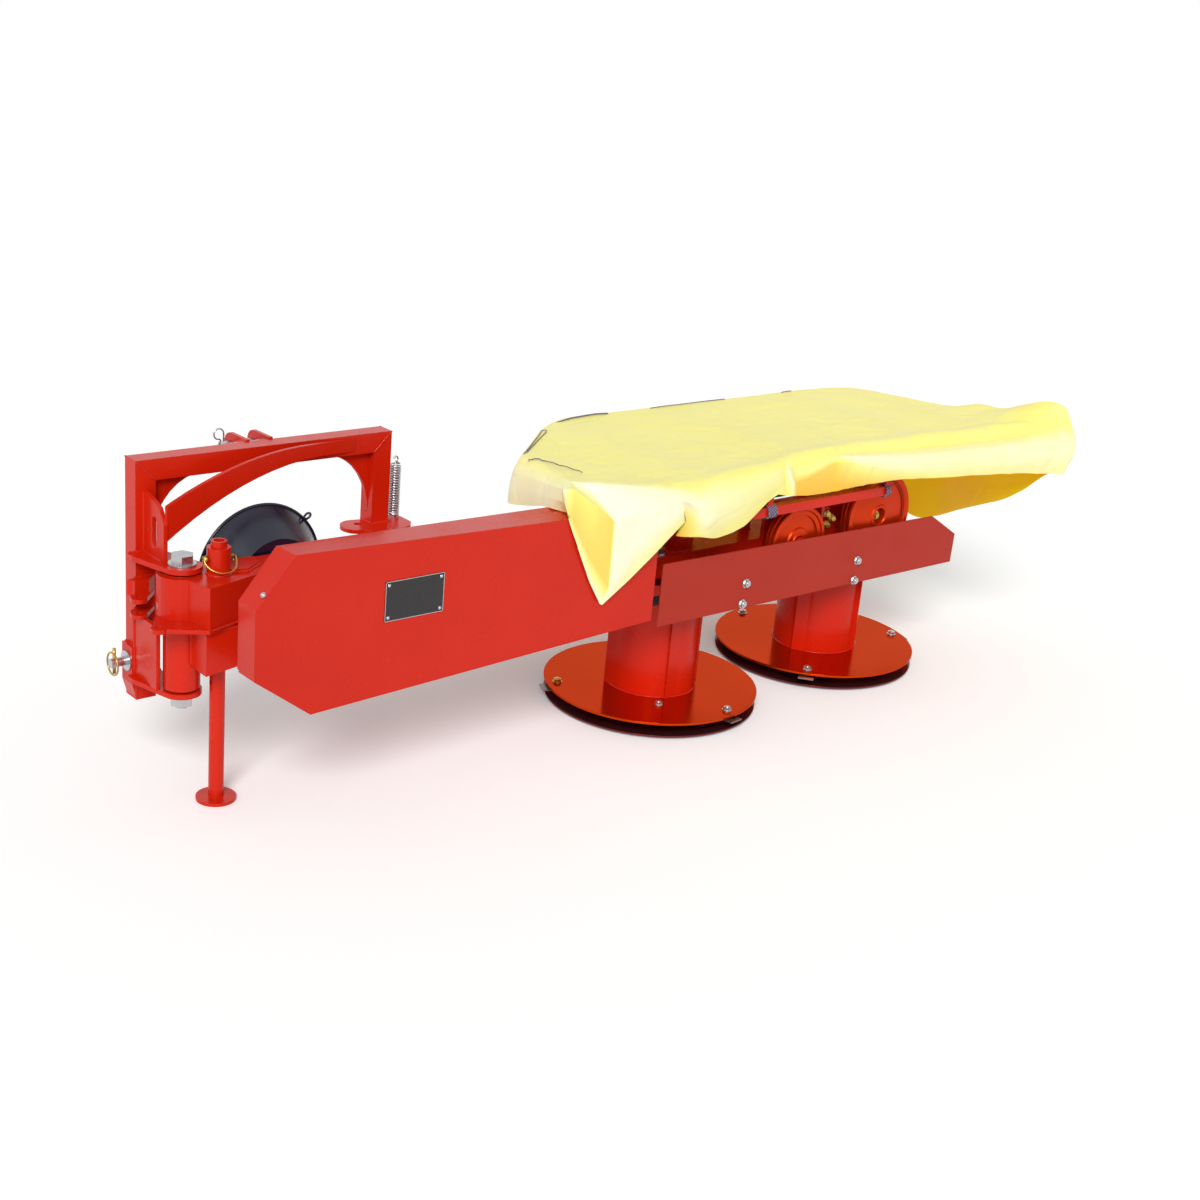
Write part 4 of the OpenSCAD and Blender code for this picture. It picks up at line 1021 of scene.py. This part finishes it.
# body, bead, rings as (x, y, z, radius, from, to, steps) and straight runs from end to end, millimetres and degrees
weldRuns = {
    "gateMitres": ("hitch", "fine", [], [
        (x, y, 793, x + inward, y, 743) for x, inward in ((-1455, 50), (-769, -50)) for y in (211, 261)]),
    "postWelds": ("hitch", "broad", [], [
        *((-1475, 211, z, -1393, 211, z) for z in (580, 568, 280, 268)),
        (-1435, 211, 582, -1435, 211, 720), (-1425, 211, 582, -1425, 211, 700),
        (-1435, 128, 580, -1435, 208, 580), (-1425, 150, 580, -1425, 208, 580),
        (-1459, 211, 282, -1459, 211, 432), (-1425, 126, 636, -1425, 121, 704),
        *((-1460, 211, z, -1409, 211, z) for z in (434, 444, 472, 518)),
        (-1455, 211, 330, -1455, 261, 348), (-1455, 211, 224, -1455, 211, 346)]),
    "earWelds": ("hitch", "broad", [], [
        *((x, 261, 748, x, 261, 792) for x in (-1148, -1138, -1086, -1076)),
        (-819, 209, 560, -769, 209, 560), (-769, 211, 560, -769, 250, 560), (-819, 211, 560, -819, 248, 560)]),
    "armWelds": ("frame", "broad", [
        (-1335, 48, 562.5, 27.5, 0, 360, 48), (-1335, 48, 355, 28, 0, 360, 48), (-1402, 92, 464, 43, -60, 60, 24)], [
        (-1320, 40, 563, -1271, 28, 563), (-1271, 28, 563, -1222, 62, 563), (-1222, 62, 563, -1216, 94, 563),
        (-1402, -20, 455, -1214, -20, 455), (-1394, -37, 464, -1264, 2, 464), (-1402, 48, 352, -1402, 48, 452)]),
    "headWelds": ("frame", "broad", [(0, 0, 452.5, 79, 0, 360, 48), (drumPitch, 0, 452.5, 79, 0, 360, 48)], [
        (x - 10, y, 452.5, x + 10, y, 452.5) for x in (-120, 310, 805) for y in (-12, 12)]),
    "drumWeldLeft": ("drum_left", "fine", [(0, 0, 48, 126, 0, 360, 96)], []),
    "drumWeldRight": ("drum_right", "fine", [(drumPitch, 0, 48, 126, 0, 360, 96)], []),
}


def makeWelds(runs, sizes):
    for name, (body, bead, rings, lines) in runs.items():
        paths = [arc(place(*at), xAxis, yAxis, radius, evenly(steps, start, end) + [end])
                 for *at, radius, start, end, steps in rings]
        paths += [[place(*run[:3]), place(*run[3:])] for run in lines]
        made = runTree(welds, pathCurve(paths), {
            "Bead Radius": sizes[bead] / 1000, "Ripple Length": sizes["ripple"] / 1000, "Material": enamel})
        finishPiece(name, [made], body)


makeWelds(weldRuns, weldSize)
print("welds made")

# ---- lacing of the canopy ----

# runs of cord in (x, y, height over the cloth's level), in millimetres
canopyLacing = {
    "level": 718,
    "thin": 1.3,
    "thick": 2.2,
    "runs": [
        ("thin", [(-450, 60, 2), (-444, 66, 3), (-436, 64, 3), (-424, 70, 2), (-413, 62, 2), (-418, 50, 3),
                  (-410, 40, 2), (-404, 18, 3), (-402, -4, 2), (-396, -22, 3), (-393, -46, 2), (-388, -62, 2),
                  (-384, -74, 0)]),
        ("thin", [(-419, 120, 1), (-372, 158, 3), (-318, 204, 3), (-262, 252, 3), (-226, 286, 2), (-214, 284, 2),
                  (-222, 272, 2), (-262, 240, 2), (-330, 186, 2), (-388, 140, 2), (-404, 126, 1)]),
        ("thick", [(-126, 343, 0), (-99, 352, 1), (-58, 362, 2), (-14, 368, 2), (16, 371, 2), (43, 372, 2),
                   (66, 371, 1), (84, 370, 0)]),
        ("thin", [(249, 371, 0), (300, 371, 1), (380, 370, 1), (460, 371, 1), (555, 371, 0)]),
        ("thin", [(800, 368, 0), (815, 369, 1), (832, 370, 1), (846, 370, 0)]),
    ],
    "stepsBetween": 6,
}
# cord wound round the low rail: spots are (middle, length) along it
railWraps = {"axis": (-222, 588), "radius": 19.5, "wire": 2.2, "spots": [(156, 36), (628, 18)], "pitch": 6.0,
             "steps": 16}


def makeLacing(spec):
    parts = []
    for size, run in spec["runs"]:
        points = np.array([tuple(place(x, y, spec["level"] + up)) for x, y, up in run])
        points = np.vstack([2 * points[0] - points[1], points, 2 * points[-1] - points[-2]])
        fine = [Vector(spline(*points[k - 1 : k + 3], f / spec["stepsBetween"]))
                for k in range(1, len(points) - 2) for f in range(spec["stepsBetween"])]
        parts.append(wireMesh([fine + [Vector(points[-2])]], spec[size]))
    finishPiece("canopyLacing", parts, "frame", cordStuff)


def makeRailWraps(spec):
    y, z = spec["axis"]
    radius, pitch, steps = spec["radius"], spec["pitch"], spec["steps"]
    windings = []
    for x, length in spec["spots"]:
        turns = int(length / pitch)
        ring = arc(place(x - length / 2, y, z), yAxis, zAxis, radius, evenly(steps * turns, 0, 360 * turns) + [0])
        windings.append([p + xAxis * pitch * i / steps / 1000 for i, p in enumerate(ring)])
    finishPiece("railWraps", [wireMesh(windings, spec["wire"])], "frame", cordStuff)


makeLacing(canopyLacing)
makeRailWraps(railWraps)
print("lacing made")
